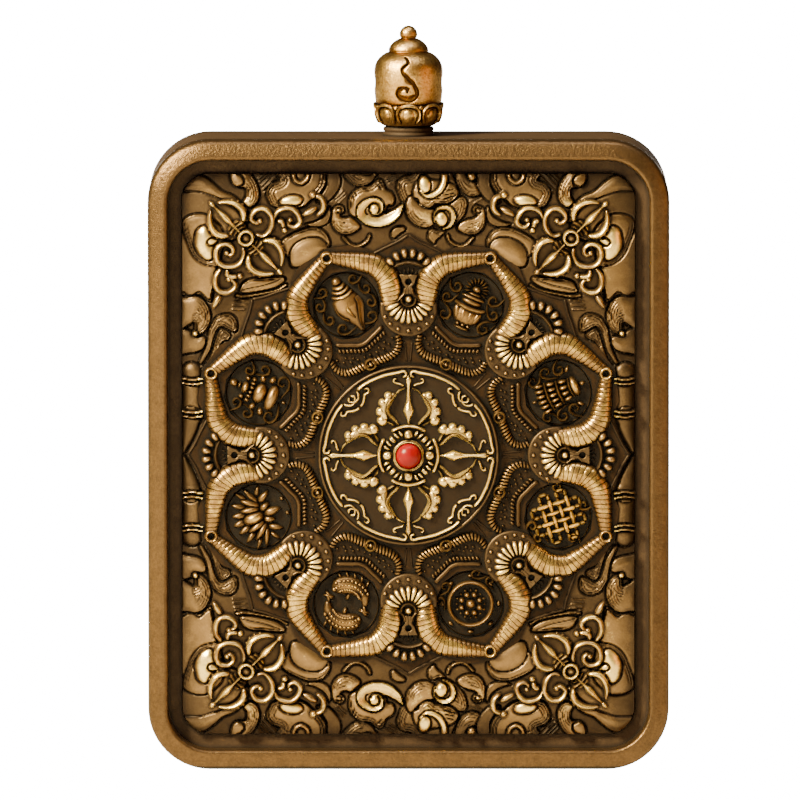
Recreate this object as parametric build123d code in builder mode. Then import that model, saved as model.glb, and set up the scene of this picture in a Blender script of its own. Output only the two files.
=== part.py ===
from build123d import *
import os
from math import cos, radians, sin

os.makedirs("parts", exist_ok=True)

# Ghau amulet box: a flat brass shrine worn on a cord.
# Millimetres, +Z up, the front faces -Y, and the box stands on z = 0.

# Case
CASE_WIDTH = 52.0
CASE_HEIGHT = 63.0
CASE_CORNER = 6.2
WALL = 2.0
FRONT_WALL = 1.2
CHAMBER_DEPTH = 8.2

# Sliding back cover, held in grooves behind the chamber
COVER_THICK = 1.0
COVER_PLAY = 0.1
LIP = 0.8
GROOVE = 1.0
GRIP_COUNT = 4
GRIP_LENGTH = 16.0
GRIP_PITCH = 1.6
GRIP_DEPTH = 0.35
GRIP_WIDTH = 0.8
GRIP_BELOW_TOP = 6.0

# Rim around the front, and the trench inside it
RIM_WIDTH = 2.0
RIM_HEIGHT = 2.8
RIM_EDGE = 0.9
RIM_BEVEL = 0.5
TRENCH = 1.35

# Relief panel and the mandala plate let into it
PANEL_THICK = 1.4
PANEL_EDGE = 0.4
POCKET_WEB = 0.4
PLATE_THICK = 0.8
SEAT_GAP = 0.05
STAR_MARGIN = 0.65
STAR_END_MARGIN = 6.15
STAR_SHOULDER = 1.6
STAR_HALF = 3.2
LOBES = 8

# Wells that hold the lucky signs, measured in from the star's points
WELL_INSET = 5.8
WELL_R = 3.5
WELL_DEPTH = 0.45
SIGN_MARGIN = 0.55
SIGN_RISE = 0.9

# Ribbed horns, two to a lobe; their lengths are shares of the pitch between the lobes
HORN_RIBS = 6
HORN_TIP_R = 0.45
HORN_WIDE_R = 1.0
HORN_RIB_LAP = 0.15
HORN_LEAN = 59.7
HORN_STRAIGHT = 0.28
HORN_BEND_R = 0.242
HORN_BEND = 82.0
HORN_TAIL = 0.1
LOBE_MARGIN = 2.6
EYELET_OUT = 0.42
EYELET_RISE = 0.7
EYELET_HALF = 0.75
EYELET_SHIFT = 0.1
EYELET_HOLE = 0.25

# Palmettes between the lobes
FAN_INSET = 7.2
FAN_R = 2.8
FAN_RISE = 0.9
FAN_PETALS = 9
FAN_PETAL_LENGTH = 2.5
FAN_SPREAD = 134.0
PETAL_RISE = 0.35
HUB_R = 0.55
HUB_SETBACK = 0.7
NECK_WIDTH = 1.0
NECK_LENGTH = 2.4
KEYHOLE_R = 0.3
CROWN_FINGERS = 7
CROWN_SPREAD = 98.0
CROWN_OUTER_R = 2.9

# Medallion, crossed vajra and bead
MEDALLION_GAP = 2.95
MEDALLION_RISE = 0.7
MEDALLION_RIM = 0.4
MEDALLION_RIM_RISE = 0.45
VAJRA_MARGIN = 1.15
VAJRA_RISE = 0.8
VAJRA_HUB_R = 1.75
SEAT_R = 3.1
SEAT_WIDTH = 0.4
SEAT_SPREAD = 66.0
PRONG_ROOT = 0.3
PRONG_WAIST = 0.2
PRONG_HALF = 0.56
PRONG_WIDEST = 1.4
SIDE_PRONG_MARGIN = 1.0
SIDE_PRONG_OUT = 0.85
SIDE_PRONG_WIDTH = 0.6
SIDE_PRONG_START = 25.0
SIDE_PRONG_SWEEP = 165.0
BEAD_R = 1.26
BEAD_RISE = 0.95
BEAD_GIRDLE = 0.1
BEAD_LEAN = 22.0
BEAD_TOP_LEAN = 62.0
CUP_WALL = 0.22
CUP_RISE = 0.35

# Corner vajras, measured in from the panel's corners
CORNER_INSET = 6.6
CORNER_RISE = 0.9
CORNER_HUB_R = 0.9
CORNER_HEAD_OFFSET = 2.5
CORNER_HEAD_R = 1.2
CORNER_WIRE = 0.45
CORNER_PRONG = 2.35
CORNER_PRONG_HALF = 0.3
SCROLL_R = 1.05
SCROLL_STEP = 1.8
SCROLL_SHIFT = 0.2
SCROLL_STEM = 1.4
SCROLL_LINK = 1.0
LEAF_HALF = 1.4
LEAF_WIDE = 0.5
LEAF_TURN = 103.0

# Finial on its swivel
FINIAL_CLEAR = 0.4
SWIVEL_GAP = 0.1
PIN_R = 1.1
PIN_HEAD_R = 1.9
PIN_HEAD = 0.8
PIN_BITE = 0.6
COLLAR_R = 2.55
COLLAR_HEIGHT = 0.9
COLLAR_SPIGOT_R = 1.8
LOTUS_HEIGHT = 2.1
LOTUS_BULGE_R = 3.54
LOTUS_FLARE_R = 3.7
LOTUS_PETALS = 8
SPIGOT_R = 1.9
VASE_R = 3.45
VASE_WALL = 3.7
SHOULDER = 1.65
LID_R = 2.0
LID_HEIGHT = 1.2
FINIAL_BEAD_R = 0.9
CORD_BORE_R = 0.8
CORD_BORE_UP = 2.3

# Depths, counted forward from the back face
cover_slot = COVER_THICK + 2 * COVER_PLAY
case_depth = LIP + cover_slot + CHAMBER_DEPTH + FRONT_WALL
total_depth = case_depth + max(
    RIM_HEIGHT,
    POCKET_WEB + PLATE_THICK + MEDALLION_RISE + VAJRA_RISE + BEAD_RISE,
)
back_y = total_depth / 2
mid_z = CASE_HEIGHT / 2

# Outline sizes that follow from the case
inner_width = CASE_WIDTH - 2 * WALL
inner_height = CASE_HEIGHT - 2 * WALL
inner_corner = CASE_CORNER - WALL
groove_wall = WALL - GROOVE
groove_corner = CASE_CORNER - groove_wall
panel_setback = RIM_WIDTH + TRENCH
panel_width = CASE_WIDTH - 2 * panel_setback
panel_height = CASE_HEIGHT - 2 * panel_setback
panel_corner = CASE_CORNER - panel_setback

# Mandala sizes that follow from the panel
star_reach = min(panel_width / 2 - STAR_MARGIN, panel_height / 2 - STAR_END_MARGIN)
lobe_step = 360 / LOBES
half_step = lobe_step / 2
well_ring = star_reach - WELL_INSET
lobe_pitch = 2 * well_ring * sin(radians(half_step))
lobe_pad_r = WELL_R + LOBE_MARGIN
vertex_r = well_ring + EYELET_OUT * lobe_pitch
fan_ring = star_reach - FAN_INSET
hub_r = fan_ring + HUB_SETBACK
crown_centre = hub_r + NECK_LENGTH
medallion_r = fan_ring - FAN_R - MEDALLION_GAP
sign_r = WELL_R - SIGN_MARGIN

# Heights of the relief, counted forward from the trench floor
panel_top = PANEL_THICK
plate_top = POCKET_WEB + PLATE_THICK
well_floor = plate_top - WELL_DEPTH
medallion_top = plate_top + MEDALLION_RISE
vajra_top = medallion_top + VAJRA_RISE

# Levels of the finial
finial_y = back_y - (LIP + cover_slot + FINIAL_CLEAR + LOTUS_FLARE_R)
inner_top = CASE_HEIGHT - WALL
collar_top = CASE_HEIGHT + COLLAR_HEIGHT
lotus_base = collar_top + SWIVEL_GAP
vase_base = lotus_base + LOTUS_HEIGHT
shoulder_base = vase_base + VASE_WALL
lid_base = shoulder_base + SHOULDER
lid_top = lid_base + LID_HEIGHT
pin_top = vase_base + PIN_BITE
finial_axis = Axis((0, finial_y, 0), (0, 0, 1))
finial_plane = Plane(origin=(0, finial_y, 0), x_dir=(1, 0, 0), z_dir=(0, -1, 0))
mandala_axis = Axis((0, 0, mid_z), (0, -1, 0))


def facing(depth, turn=0.0, centre=(0.0, 0.0)):
    """A plane that faces the viewer, depth forward of the back, its x turned from the box's right."""
    return Plane(
        origin=(centre[0], back_y - depth, mid_z + centre[1]),
        x_dir=(cos(radians(turn)), 0, sin(radians(turn))),
        z_dir=(0, -1, 0),
    )


def relief(height, turn=0.0, centre=(0.0, 0.0)):
    """A facing plane at a height above the trench floor."""
    return facing(case_depth + height, turn, centre)


def well_plane(angle):
    """The floor of the well at an angle, with its y pointing out from the mandala's centre."""
    centre = (well_ring * cos(radians(angle)), well_ring * sin(radians(angle)))
    return relief(well_floor, angle - 90, centre)


def arc_points(centre, radius, start, sweep, sides):
    """Points along an arc that is drawn as a few straight sides."""
    angles = [radians(start + sweep * i / sides) for i in range(sides + 1)]
    return [(centre[0] + radius * cos(a), centre[1] + radius * sin(a)) for a in angles]


def bent_band(centre, radius, width, start, sweep, sides):
    """Draws a strip of even width along an arc in the open sketch."""
    outer = arc_points(centre, radius + width / 2, start, sweep, sides)
    inner = arc_points(centre, radius - width / 2, start, sweep, sides)
    Polygon(*outer, *reversed(inner), align=None)


def scallops(centre, inner, outer, facing_angle, spread, count):
    """Points of a fan's edge: count tips with a valley on either side of each."""
    step = spread / (2 * count)
    points = []
    for i in range(2 * count + 1):
        angle = radians(facing_angle - spread / 2 + step * i)
        radius = outer if i % 2 else inner
        points.append((centre + radius * cos(angle), radius * sin(angle)))
    return points


def save(node, label):
    """Names a finished sub-part and writes its file."""
    node.label = label
    export_step(node, f"parts/{label}.step")


# Case body: an open-backed casting whose front wall is the trench floor
with BuildPart() as case_body:
    with BuildSketch(facing(0)):
        RectangleRounded(CASE_WIDTH, CASE_HEIGHT, CASE_CORNER)
    extrude(amount=case_depth)
    with BuildSketch(facing(0)):
        RectangleRounded(inner_width, inner_height, inner_corner)
    extrude(amount=case_depth - FRONT_WALL, mode=Mode.SUBTRACT)
    with BuildSketch(facing(LIP)):
        RectangleRounded(CASE_WIDTH - 2 * groove_wall, CASE_HEIGHT - 2 * groove_wall, groove_corner)
        with Locations((0, CASE_HEIGHT / 2)):
            Rectangle(CASE_WIDTH - 2 * groove_wall, CASE_HEIGHT)
    extrude(amount=cover_slot, mode=Mode.SUBTRACT)
    with BuildSketch(Plane.XY.offset(inner_top)):
        with Locations((0, finial_y)):
            Circle(COLLAR_SPIGOT_R + SEAT_GAP)
    extrude(amount=WALL, mode=Mode.SUBTRACT)
save(case_body.part, "case_body")

# Bezel frame: the bright rim, eased outside and bevelled towards the trench
with BuildPart() as bezel_frame:
    with BuildSketch(facing(case_depth)):
        RectangleRounded(CASE_WIDTH, CASE_HEIGHT, CASE_CORNER)
        RectangleRounded(
            CASE_WIDTH - 2 * RIM_WIDTH,
            CASE_HEIGHT - 2 * RIM_WIDTH,
            CASE_CORNER - RIM_WIDTH,
            mode=Mode.SUBTRACT,
        )
    extrude(amount=RIM_HEIGHT)
    front = bezel_frame.faces().sort_by(Axis.Y)[0]
    chamfer(front.outer_wire().edges(), RIM_EDGE, 0.7 * RIM_EDGE)
    front = bezel_frame.faces().sort_by(Axis.Y)[0]
    chamfer(front.inner_wires()[0].edges(), RIM_BEVEL)
save(bezel_frame.part, "bezel_frame")

# Back cover: a plate that drops down the grooves and ends flush with the box's top
cover_half = CASE_WIDTH / 2 - groove_wall - COVER_PLAY
with BuildPart() as back_cover:
    with BuildSketch(facing(LIP + COVER_PLAY)):
        RectangleRounded(2 * cover_half, CASE_HEIGHT - 2 * groove_wall, groove_corner - COVER_PLAY)
        with Locations((0, CASE_HEIGHT / 4)):
            Rectangle(2 * cover_half, CASE_HEIGHT / 2)
        RectangleRounded(CASE_WIDTH, CASE_HEIGHT, CASE_CORNER, mode=Mode.INTERSECT)
    extrude(amount=COVER_THICK)
    with BuildSketch(facing(LIP + COVER_PLAY)):
        with Locations((0, inner_height / 2 - GRIP_BELOW_TOP)):
            with GridLocations(0, GRIP_PITCH, 1, GRIP_COUNT):
                Rectangle(GRIP_LENGTH, GRIP_WIDTH)
    extrude(amount=GRIP_DEPTH, mode=Mode.SUBTRACT)
save(back_cover.part, "back_cover")

# Neck collar: a flanged bush in the top wall that the finial turns on
with BuildPart() as neck_collar:
    with BuildSketch(finial_plane):
        with BuildLine():
            Polyline(
                (PIN_R + SWIVEL_GAP, inner_top),
                (COLLAR_SPIGOT_R, inner_top),
                (COLLAR_SPIGOT_R, CASE_HEIGHT),
                (COLLAR_R, CASE_HEIGHT),
                (COLLAR_R, collar_top),
                (PIN_R + SWIVEL_GAP, collar_top),
                close=True,
            )
        make_face()
    revolve(axis=finial_axis)
save(neck_collar.part, "neck_collar")

# Swivel pin: its head hangs under the top wall, inside the chamber
with BuildPart() as swivel_pin:
    head_top = inner_top - SWIVEL_GAP
    with BuildSketch(Plane.XY.offset(head_top - PIN_HEAD)):
        with Locations((0, finial_y)):
            Circle(PIN_HEAD_R)
    extrude(amount=PIN_HEAD)
    with BuildSketch(Plane.XY.offset(head_top)):
        with Locations((0, finial_y)):
            Circle(PIN_R)
    extrude(amount=pin_top - head_top)
save(swivel_pin.part, "swivel_pin")

# Lotus cup: a faceted cup, a face for each petal and a face for each gap, bored for the vase
lotus_levels = (
    (lotus_base, COLLAR_R),
    (lotus_base + 0.28 * LOTUS_HEIGHT, LOTUS_BULGE_R - 0.25),
    (lotus_base + 0.55 * LOTUS_HEIGHT, LOTUS_BULGE_R),
    (vase_base, LOTUS_FLARE_R),
)
with BuildPart() as lotus_cup:
    for level, radius in lotus_levels:
        with BuildSketch(Plane.XY.offset(level)):
            with Locations((0, finial_y)):
                RegularPolygon(radius, 2 * LOTUS_PETALS)
    loft(ruled=True)
    with BuildSketch(Plane.XY.offset(lotus_base)):
        with Locations((0, finial_y)):
            Circle(SPIGOT_R + SEAT_GAP)
    extrude(amount=LOTUS_HEIGHT, mode=Mode.SUBTRACT)
save(lotus_cup.part, "lotus_cup")

# Vase finial: spigot, body, shoulder, lid and bead in one turning, with the cord bore across it
with BuildPart() as vase_finial:
    with BuildSketch(finial_plane):
        bead_z = lid_top + 0.5 * FINIAL_BEAD_R
        bead_edge = arc_points((0, bead_z), FINIAL_BEAD_R, -30, 120, 2)
        with BuildLine():
            Polyline(
                (0, lotus_base),
                (SPIGOT_R, lotus_base),
                (SPIGOT_R, vase_base),
                (VASE_R, vase_base),
                (VASE_R, shoulder_base + 0.25 * SHOULDER),
                (LID_R + 0.3, lid_base),
                (LID_R, lid_base),
                (LID_R, lid_base + 0.4 * LID_HEIGHT),
                *bead_edge,
                close=True,
            )
        make_face()
    revolve(axis=finial_axis)
    with BuildSketch(Plane.XY.offset(lotus_base)):
        with Locations((0, finial_y)):
            Circle(PIN_R + SEAT_GAP)
    extrude(amount=pin_top - lotus_base, mode=Mode.SUBTRACT)
    with BuildSketch(Plane.YZ):
        with Locations((finial_y, vase_base + CORD_BORE_UP)):
            Circle(CORD_BORE_R)
    extrude(amount=VASE_R, both=True, mode=Mode.SUBTRACT)
save(vase_finial.part, "vase_finial")

# The mandala's outline: a ring of round lobes with a star point between each pair
with BuildSketch() as mandala_outline:
    Circle(well_ring)
    with PolarLocations(well_ring, LOBES, start_angle=half_step):
        RegularPolygon(lobe_pad_r, 12)
    with PolarLocations(0, LOBES):
        Polygon(
            (star_reach, 0),
            (star_reach - STAR_SHOULDER, STAR_HALF),
            (medallion_r, STAR_HALF),
            (medallion_r, -STAR_HALF),
            (star_reach - STAR_SHOULDER, -STAR_HALF),
            align=None,
        )

# Relief panel: the cloud ground, with a pocket for the mandala plate
with BuildPart() as relief_panel:
    with BuildSketch(relief(0)):
        RectangleRounded(panel_width, panel_height, panel_corner)
    extrude(amount=PANEL_THICK)
    front = relief_panel.faces().sort_by(Axis.Y)[0]
    chamfer(front.edges(), PANEL_EDGE)
    with BuildSketch(relief(POCKET_WEB)):
        add(mandala_outline.sketch)
        offset(amount=SEAT_GAP, kind=Kind.INTERSECTION)
    extrude(amount=PANEL_THICK, mode=Mode.SUBTRACT)
save(relief_panel.part, "relief_panel")

# Mandala plate: carries the lobes, palmettes and medallion, with a round well for each sign
with BuildPart() as mandala_plate:
    with BuildSketch(relief(POCKET_WEB)):
        add(mandala_outline.sketch)
    extrude(amount=PLATE_THICK)
    with BuildSketch(relief(well_floor)):
        with PolarLocations(well_ring, LOBES, start_angle=half_step):
            RegularPolygon(WELL_R, 12)
    extrude(amount=WELL_DEPTH, mode=Mode.SUBTRACT)
save(mandala_plate.part, "mandala_plate")

# Palmette drawings, with x pointing out from the mandala's centre
with BuildSketch() as fan_base:
    Polygon(*arc_points((fan_ring, 0), FAN_R, 90, 180, 10), align=None)
    with Locations((hub_r, 0)):
        RegularPolygon(HUB_R, 6)
    with Locations((hub_r + NECK_LENGTH / 2, 0)):
        Rectangle(NECK_LENGTH, NECK_WIDTH)

with BuildSketch() as fan_petals:
    petal_edge = scallops(hub_r, 0.8 * FAN_PETAL_LENGTH, FAN_PETAL_LENGTH, 180, FAN_SPREAD, FAN_PETALS)
    Polygon((hub_r, 0), *petal_edge, align=None)

with BuildSketch() as fan_crown:
    crown_edge = scallops(crown_centre, 0.8 * CROWN_OUTER_R, CROWN_OUTER_R, 0, CROWN_SPREAD, CROWN_FINGERS)
    Polygon((crown_centre, -NECK_WIDTH / 2), *crown_edge, (crown_centre, NECK_WIDTH / 2), align=None)

# One palmette at the mandala's right: a petalled half-disc, a neck with its keyhole and a crown
with BuildPart() as palmette:
    with BuildSketch(relief(plate_top)):
        add(fan_base.sketch)
        add(fan_crown.sketch)
    extrude(amount=FAN_RISE)
    with BuildSketch(relief(plate_top + FAN_RISE)):
        add(fan_petals.sketch)
    extrude(amount=PETAL_RISE)
    with BuildSketch(relief(plate_top)):
        with Locations((hub_r + 0.75 * NECK_LENGTH, 0)):
            RegularPolygon(KEYHOLE_R, 6)
    extrude(amount=FAN_RISE, mode=Mode.SUBTRACT)


def horn_radius(share):
    """The horn's half width from its thin tip, through the bend, to the palmette."""
    return HORN_TIP_R + (HORN_WIDE_R - HORN_TIP_R) * sin(radians(150 * share))


# One ribbed horn: a row of lapped, hump-backed ribs along a line that bends in to the palmette
with BuildLine(relief(plate_top, half_step)) as horn_path:
    shaft = PolarLine((vertex_r, 0), HORN_STRAIGHT * lobe_pitch, 180 - HORN_LEAN)
    bend = JernArc(shaft @ 1, shaft % 1, HORN_BEND_R * lobe_pitch, HORN_BEND)
    PolarLine(bend @ 1, HORN_TAIL * lobe_pitch, direction=bend % 1)
horn_line = horn_path.wire()
rib_half = horn_line.length / HORN_RIBS / 2 + HORN_RIB_LAP
with BuildPart() as horn:
    for rib in range(HORN_RIBS):
        share = (rib + 0.5) / HORN_RIBS
        r = horn_radius(share)
        with BuildSketch(Plane(origin=horn_line @ share, x_dir=(0, -1, 0), z_dir=horn_line % share)):
            Polygon((0, r), (1.1 * r, 0.5 * r), (1.1 * r, -0.5 * r), (0, -r), align=None)
        extrude(amount=rib_half, both=True)

# One lobe: two mirrored horns that meet at an eyelet, cut clear of the palmettes on either side
lobe_middle = Plane(
    origin=(0, 0, mid_z),
    x_dir=(cos(radians(half_step)), 0, sin(radians(half_step))),
    z_dir=(-sin(radians(half_step)), 0, cos(radians(half_step))),
)
with BuildPart() as lobe:
    add(horn.part)
    mirror(about=lobe_middle)
    with BuildSketch(relief(plate_top, half_step)):
        with Locations((vertex_r - EYELET_SHIFT, 0)):
            RegularPolygon(EYELET_HALF, 4)
        with Locations((vertex_r + EYELET_SHIFT, 0)):
            RegularPolygon(EYELET_HOLE, 4, mode=Mode.SUBTRACT)
    extrude(amount=EYELET_RISE)
    for turn in (0, lobe_step):
        with BuildSketch(relief(plate_top, turn)):
            add(fan_base.sketch)
            add(fan_crown.sketch)
        extrude(amount=2 * HORN_WIDE_R, mode=Mode.SUBTRACT)

for index in range(LOBES):
    save(palmette.part.rotate(mandala_axis, index * lobe_step), f"palmette_{index + 1}")
    save(lobe.part.rotate(mandala_axis, index * lobe_step), f"lobe_{index + 1}")

# Medallion: a disc with a raised rim
with BuildPart() as medallion:
    with BuildSketch(relief(plate_top)):
        RegularPolygon(medallion_r, 40)
    extrude(amount=MEDALLION_RISE + MEDALLION_RIM_RISE)
    with BuildSketch(relief(medallion_top)):
        RegularPolygon(medallion_r - MEDALLION_RIM, 40)
    extrude(amount=MEDALLION_RIM_RISE, mode=Mode.SUBTRACT)
save(medallion.part, "medallion")

# Crossed vajra: four arms with a curved seat, a middle prong and two bowed side prongs
vajra_tip = medallion_r - VAJRA_MARGIN
side_prong_r = (vajra_tip - SEAT_R - SIDE_PRONG_MARGIN) / 2
with BuildSketch() as vajra_arm:
    bent_band((0, 0), SEAT_R, SEAT_WIDTH, -SEAT_SPREAD / 2, SEAT_SPREAD, 4)
    Polygon(
        (0, PRONG_ROOT),
        (SEAT_R, PRONG_WAIST),
        (SEAT_R + PRONG_WIDEST, PRONG_HALF),
        (vajra_tip, 0),
        (SEAT_R + PRONG_WIDEST, -PRONG_HALF),
        (SEAT_R, -PRONG_WAIST),
        (0, -PRONG_ROOT),
        align=None,
    )
    for side in (1, -1):
        bow_centre = (SEAT_R + side_prong_r - SEAT_WIDTH / 2, side * SIDE_PRONG_OUT)
        bent_band(
            bow_centre, side_prong_r, SIDE_PRONG_WIDTH, side * SIDE_PRONG_START, side * SIDE_PRONG_SWEEP, 4
        )
with BuildPart() as double_vajra:
    with BuildSketch(relief(medallion_top)):
        RegularPolygon(VAJRA_HUB_R, 16)
        with PolarLocations(0, 4):
            add(vajra_arm.sketch)
    extrude(amount=VAJRA_RISE)
save(double_vajra.part, "double_vajra")

# Bead cup and coral bead, on the vajra's hub
with BuildPart() as bead_cup:
    with BuildSketch(relief(vajra_top)):
        RegularPolygon(BEAD_R + SEAT_GAP + CUP_WALL, 16)
        RegularPolygon(BEAD_R + SEAT_GAP, 16, mode=Mode.SUBTRACT)
    extrude(amount=CUP_RISE)
save(bead_cup.part, "bead_cup")

with BuildPart() as coral_bead:
    with BuildSketch(relief(vajra_top)):
        RegularPolygon(BEAD_R, 16)
    extrude(amount=BEAD_GIRDLE)
    bead_front = coral_bead.faces().sort_by(Axis.Y)[0]
    extrude(bead_front, amount=0.55 * BEAD_RISE, taper=BEAD_LEAN)
    bead_front = coral_bead.faces().sort_by(Axis.Y)[0]
    extrude(bead_front, amount=0.45 * BEAD_RISE - BEAD_GIRDLE, taper=BEAD_TOP_LEAN)
save(coral_bead.part, "coral_bead")

# Corner vajra drawing, with x pointing out along the panel's diagonal
near_scroll = (SCROLL_SHIFT, CORNER_HUB_R + 1.6 * SCROLL_R)
far_scroll = (near_scroll[0] - SCROLL_STEP * SCROLL_R, near_scroll[1] + SCROLL_STEP * SCROLL_R)
leaf_centre = (far_scroll[0] - 0.45 * SCROLL_R, far_scroll[1] + 2.0 * SCROLL_R)
with BuildSketch() as corner_drawing:
    with PolarLocations(CORNER_HEAD_OFFSET, 2):
        RegularPolygon(CORNER_HEAD_R + CORNER_WIRE / 2, 8)
        RegularPolygon(CORNER_HEAD_R - CORNER_WIRE / 2, 8, mode=Mode.SUBTRACT)
    with PolarLocations(0, 2):
        Polygon(
            (0, CORNER_PRONG_HALF),
            (CORNER_HEAD_OFFSET + CORNER_PRONG, CORNER_PRONG_HALF),
            (CORNER_HEAD_OFFSET + CORNER_PRONG, -CORNER_PRONG_HALF),
            (0, -CORNER_PRONG_HALF),
            align=None,
        )
    RegularPolygon(CORNER_HUB_R, 8)
    with Locations(near_scroll, far_scroll):
        RegularPolygon(SCROLL_R + CORNER_WIRE / 2, 8)
    with Locations((SCROLL_SHIFT / 2, CORNER_HUB_R)):
        Rectangle(CORNER_WIRE, SCROLL_STEM)
    with Locations(((near_scroll[0] + far_scroll[0]) / 2, (near_scroll[1] + far_scroll[1]) / 2)):
        Rectangle(SCROLL_LINK, CORNER_WIRE, rotation=135)
    with Locations(leaf_centre):
        Polygon(
            (-LEAF_HALF, 0),
            (-0.4 * LEAF_WIDE, LEAF_WIDE),
            (LEAF_HALF, 0),
            (-0.4 * LEAF_WIDE, -LEAF_WIDE),
            rotation=LEAF_TURN,
            align=None,
        )
    mirror(about=Plane.XZ)

# Corner vajras: the same drawing turned into each corner of the panel
corner_x = panel_width / 2 - CORNER_INSET
corner_z = panel_height / 2 - CORNER_INSET
corner_names = ("top_right", "top_left", "bottom_left", "bottom_right")
for index, name in enumerate(corner_names):
    turn = 45 + 90 * index
    centre = (
        corner_x if turn in (45, 315) else -corner_x,
        corner_z if turn in (45, 135) else -corner_z,
    )
    with BuildPart() as corner_vajra:
        with BuildSketch(relief(panel_top, turn, centre)):
            add(corner_drawing.sketch)
        extrude(amount=CORNER_RISE)
    save(corner_vajra.part, f"corner_vajra_{name}")

# Lucky signs, one to a well; each is drawn with y pointing out from the mandala's centre
s = sign_r

with BuildPart() as victory_banner:
    with BuildSketch(well_plane(half_step)):
        Rectangle(0.5 * s, 1.2 * s)
        for level, half in enumerate((0.35, 0.45, 0.55)):
            top = (0.5 - 0.42 * level) * s
            Polygon(
                (-0.8 * half * s, top),
                (0.8 * half * s, top),
                (half * s, top - 0.34 * s),
                (-half * s, top - 0.34 * s),
                align=None,
            )
        with Locations((0, 0.7 * s)):
            RegularPolygon(0.24 * s, 8)
    extrude(amount=SIGN_RISE)
save(victory_banner.part, "victory_banner")

with BuildPart() as treasure_vase:
    with BuildSketch(well_plane(half_step + lobe_step)):
        with Locations((0, -0.15 * s)):
            RegularPolygon(0.58 * s, 12)
        with Locations((0, 0.36 * s)):
            Rectangle(0.55 * s, 0.25 * s)
        with Locations((0, 0.52 * s)):
            Rectangle(0.95 * s, 0.18 * s)
        with Locations((0, 0.72 * s)):
            RegularPolygon(0.25 * s, 6)
        with Locations((0, -0.68 * s)):
            Rectangle(0.8 * s, 0.2 * s)
    extrude(amount=SIGN_RISE)
save(treasure_vase.part, "treasure_vase")

with BuildPart() as conch_shell:
    with BuildSketch(well_plane(half_step + 2 * lobe_step)):
        Polygon(
            (-0.5 * s, 0.1 * s),
            (-0.35 * s, 0.6 * s),
            (0.15 * s, 0.65 * s),
            (0.5 * s, 0.2 * s),
            (0.4 * s, -0.4 * s),
            (0, -0.75 * s),
            (-0.35 * s, -0.4 * s),
            align=None,
        )
        with Locations((-0.28 * s, 0.62 * s)):
            RegularPolygon(0.34 * s, 10)
        Polygon((0.1 * s, -0.2 * s), (0.75 * s, -0.1 * s), (0.35 * s, -0.9 * s), align=None)
    extrude(amount=SIGN_RISE)
save(conch_shell.part, "conch_shell")

with BuildPart() as parasol:
    with BuildSketch(well_plane(half_step + 3 * lobe_step)):
        Polygon(
            (-0.8 * s, 0.05 * s),
            (-0.45 * s, 0.55 * s),
            (0.45 * s, 0.55 * s),
            (0.8 * s, 0.05 * s),
            align=None,
        )
        with Locations((0, -0.15 * s)):
            Rectangle(1.3 * s, 0.45 * s)
        with Locations((0, -0.55 * s)):
            Rectangle(0.2 * s, 0.7 * s)
        with Locations((0, 0.65 * s)):
            RegularPolygon(0.22 * s, 8)
    extrude(amount=SIGN_RISE)
save(parasol.part, "parasol")

with BuildPart() as lotus_flower:
    with BuildSketch(well_plane(half_step + 4 * lobe_step)):
        with Locations((0, -0.25 * s)):
            RegularPolygon(0.35 * s, 10)
            with PolarLocations(0, 7, start_angle=-15, angular_range=210, endpoint=True):
                Polygon((0, 0.1 * s), (0.5 * s, 0.2 * s), (0.85 * s, 0), (0.5 * s, -0.2 * s), (0, -0.1 * s), align=None)
    extrude(amount=SIGN_RISE)
save(lotus_flower.part, "lotus_flower")

with BuildPart() as golden_fish:
    with BuildSketch(well_plane(half_step + 5 * lobe_step)):
        with PolarLocations(0.42 * s, 2):
            Polygon(
                (0, 0.65 * s),
                (0.3 * s, 0.2 * s),
                (0.05 * s, -0.5 * s),
                (0.3 * s, -0.85 * s),
                (-0.35 * s, -0.85 * s),
                (-0.1 * s, -0.5 * s),
                (-0.28 * s, 0.2 * s),
                align=None,
            )
        Rectangle(0.5 * s, 0.3 * s)
    extrude(amount=SIGN_RISE)
save(golden_fish.part, "golden_fish")

with BuildPart() as dharma_wheel:
    with BuildSketch(well_plane(half_step + 6 * lobe_step)):
        RegularPolygon(0.9 * s, 12)
        RegularPolygon(0.65 * s, 12, mode=Mode.SUBTRACT)
        for spoke in range(4):
            Rectangle(1.5 * s, 0.14 * s, rotation=45 * spoke)
        RegularPolygon(0.24 * s, 8)
    extrude(amount=SIGN_RISE)
save(dharma_wheel.part, "dharma_wheel")

with BuildPart() as endless_knot:
    with BuildSketch(well_plane(half_step + 7 * lobe_step)):
        for bar in (-1, 0, 1):
            with Locations((bar * 0.4 * s, 0)):
                Rectangle(0.2 * s, 1.3 * s)
            with Locations((0, bar * 0.4 * s)):
                Rectangle(1.3 * s, 0.2 * s)
        with PolarLocations(0.6 * s, 4):
            with Locations((0, 0.2 * s), (0, -0.2 * s)):
                Rectangle(0.2 * s, 0.6 * s)
    extrude(amount=SIGN_RISE)
save(endless_knot.part, "endless_knot")
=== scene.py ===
# %% [markdown]
# A ghau is a small amulet box that is worn on a cord. This one is cast in brass: a rounded rim, a dark
# trench, a carved panel of clouds, and a mandala of eight horned lobes around a coral bead. The packed
# CAD part is the fixed frame. Every looks piece below is modelled around it, in its place.

# %% Load the frame and measure the panel
import math

import bmesh
import bpy
import numpy as np
from mathutils import Matrix, Vector


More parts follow.
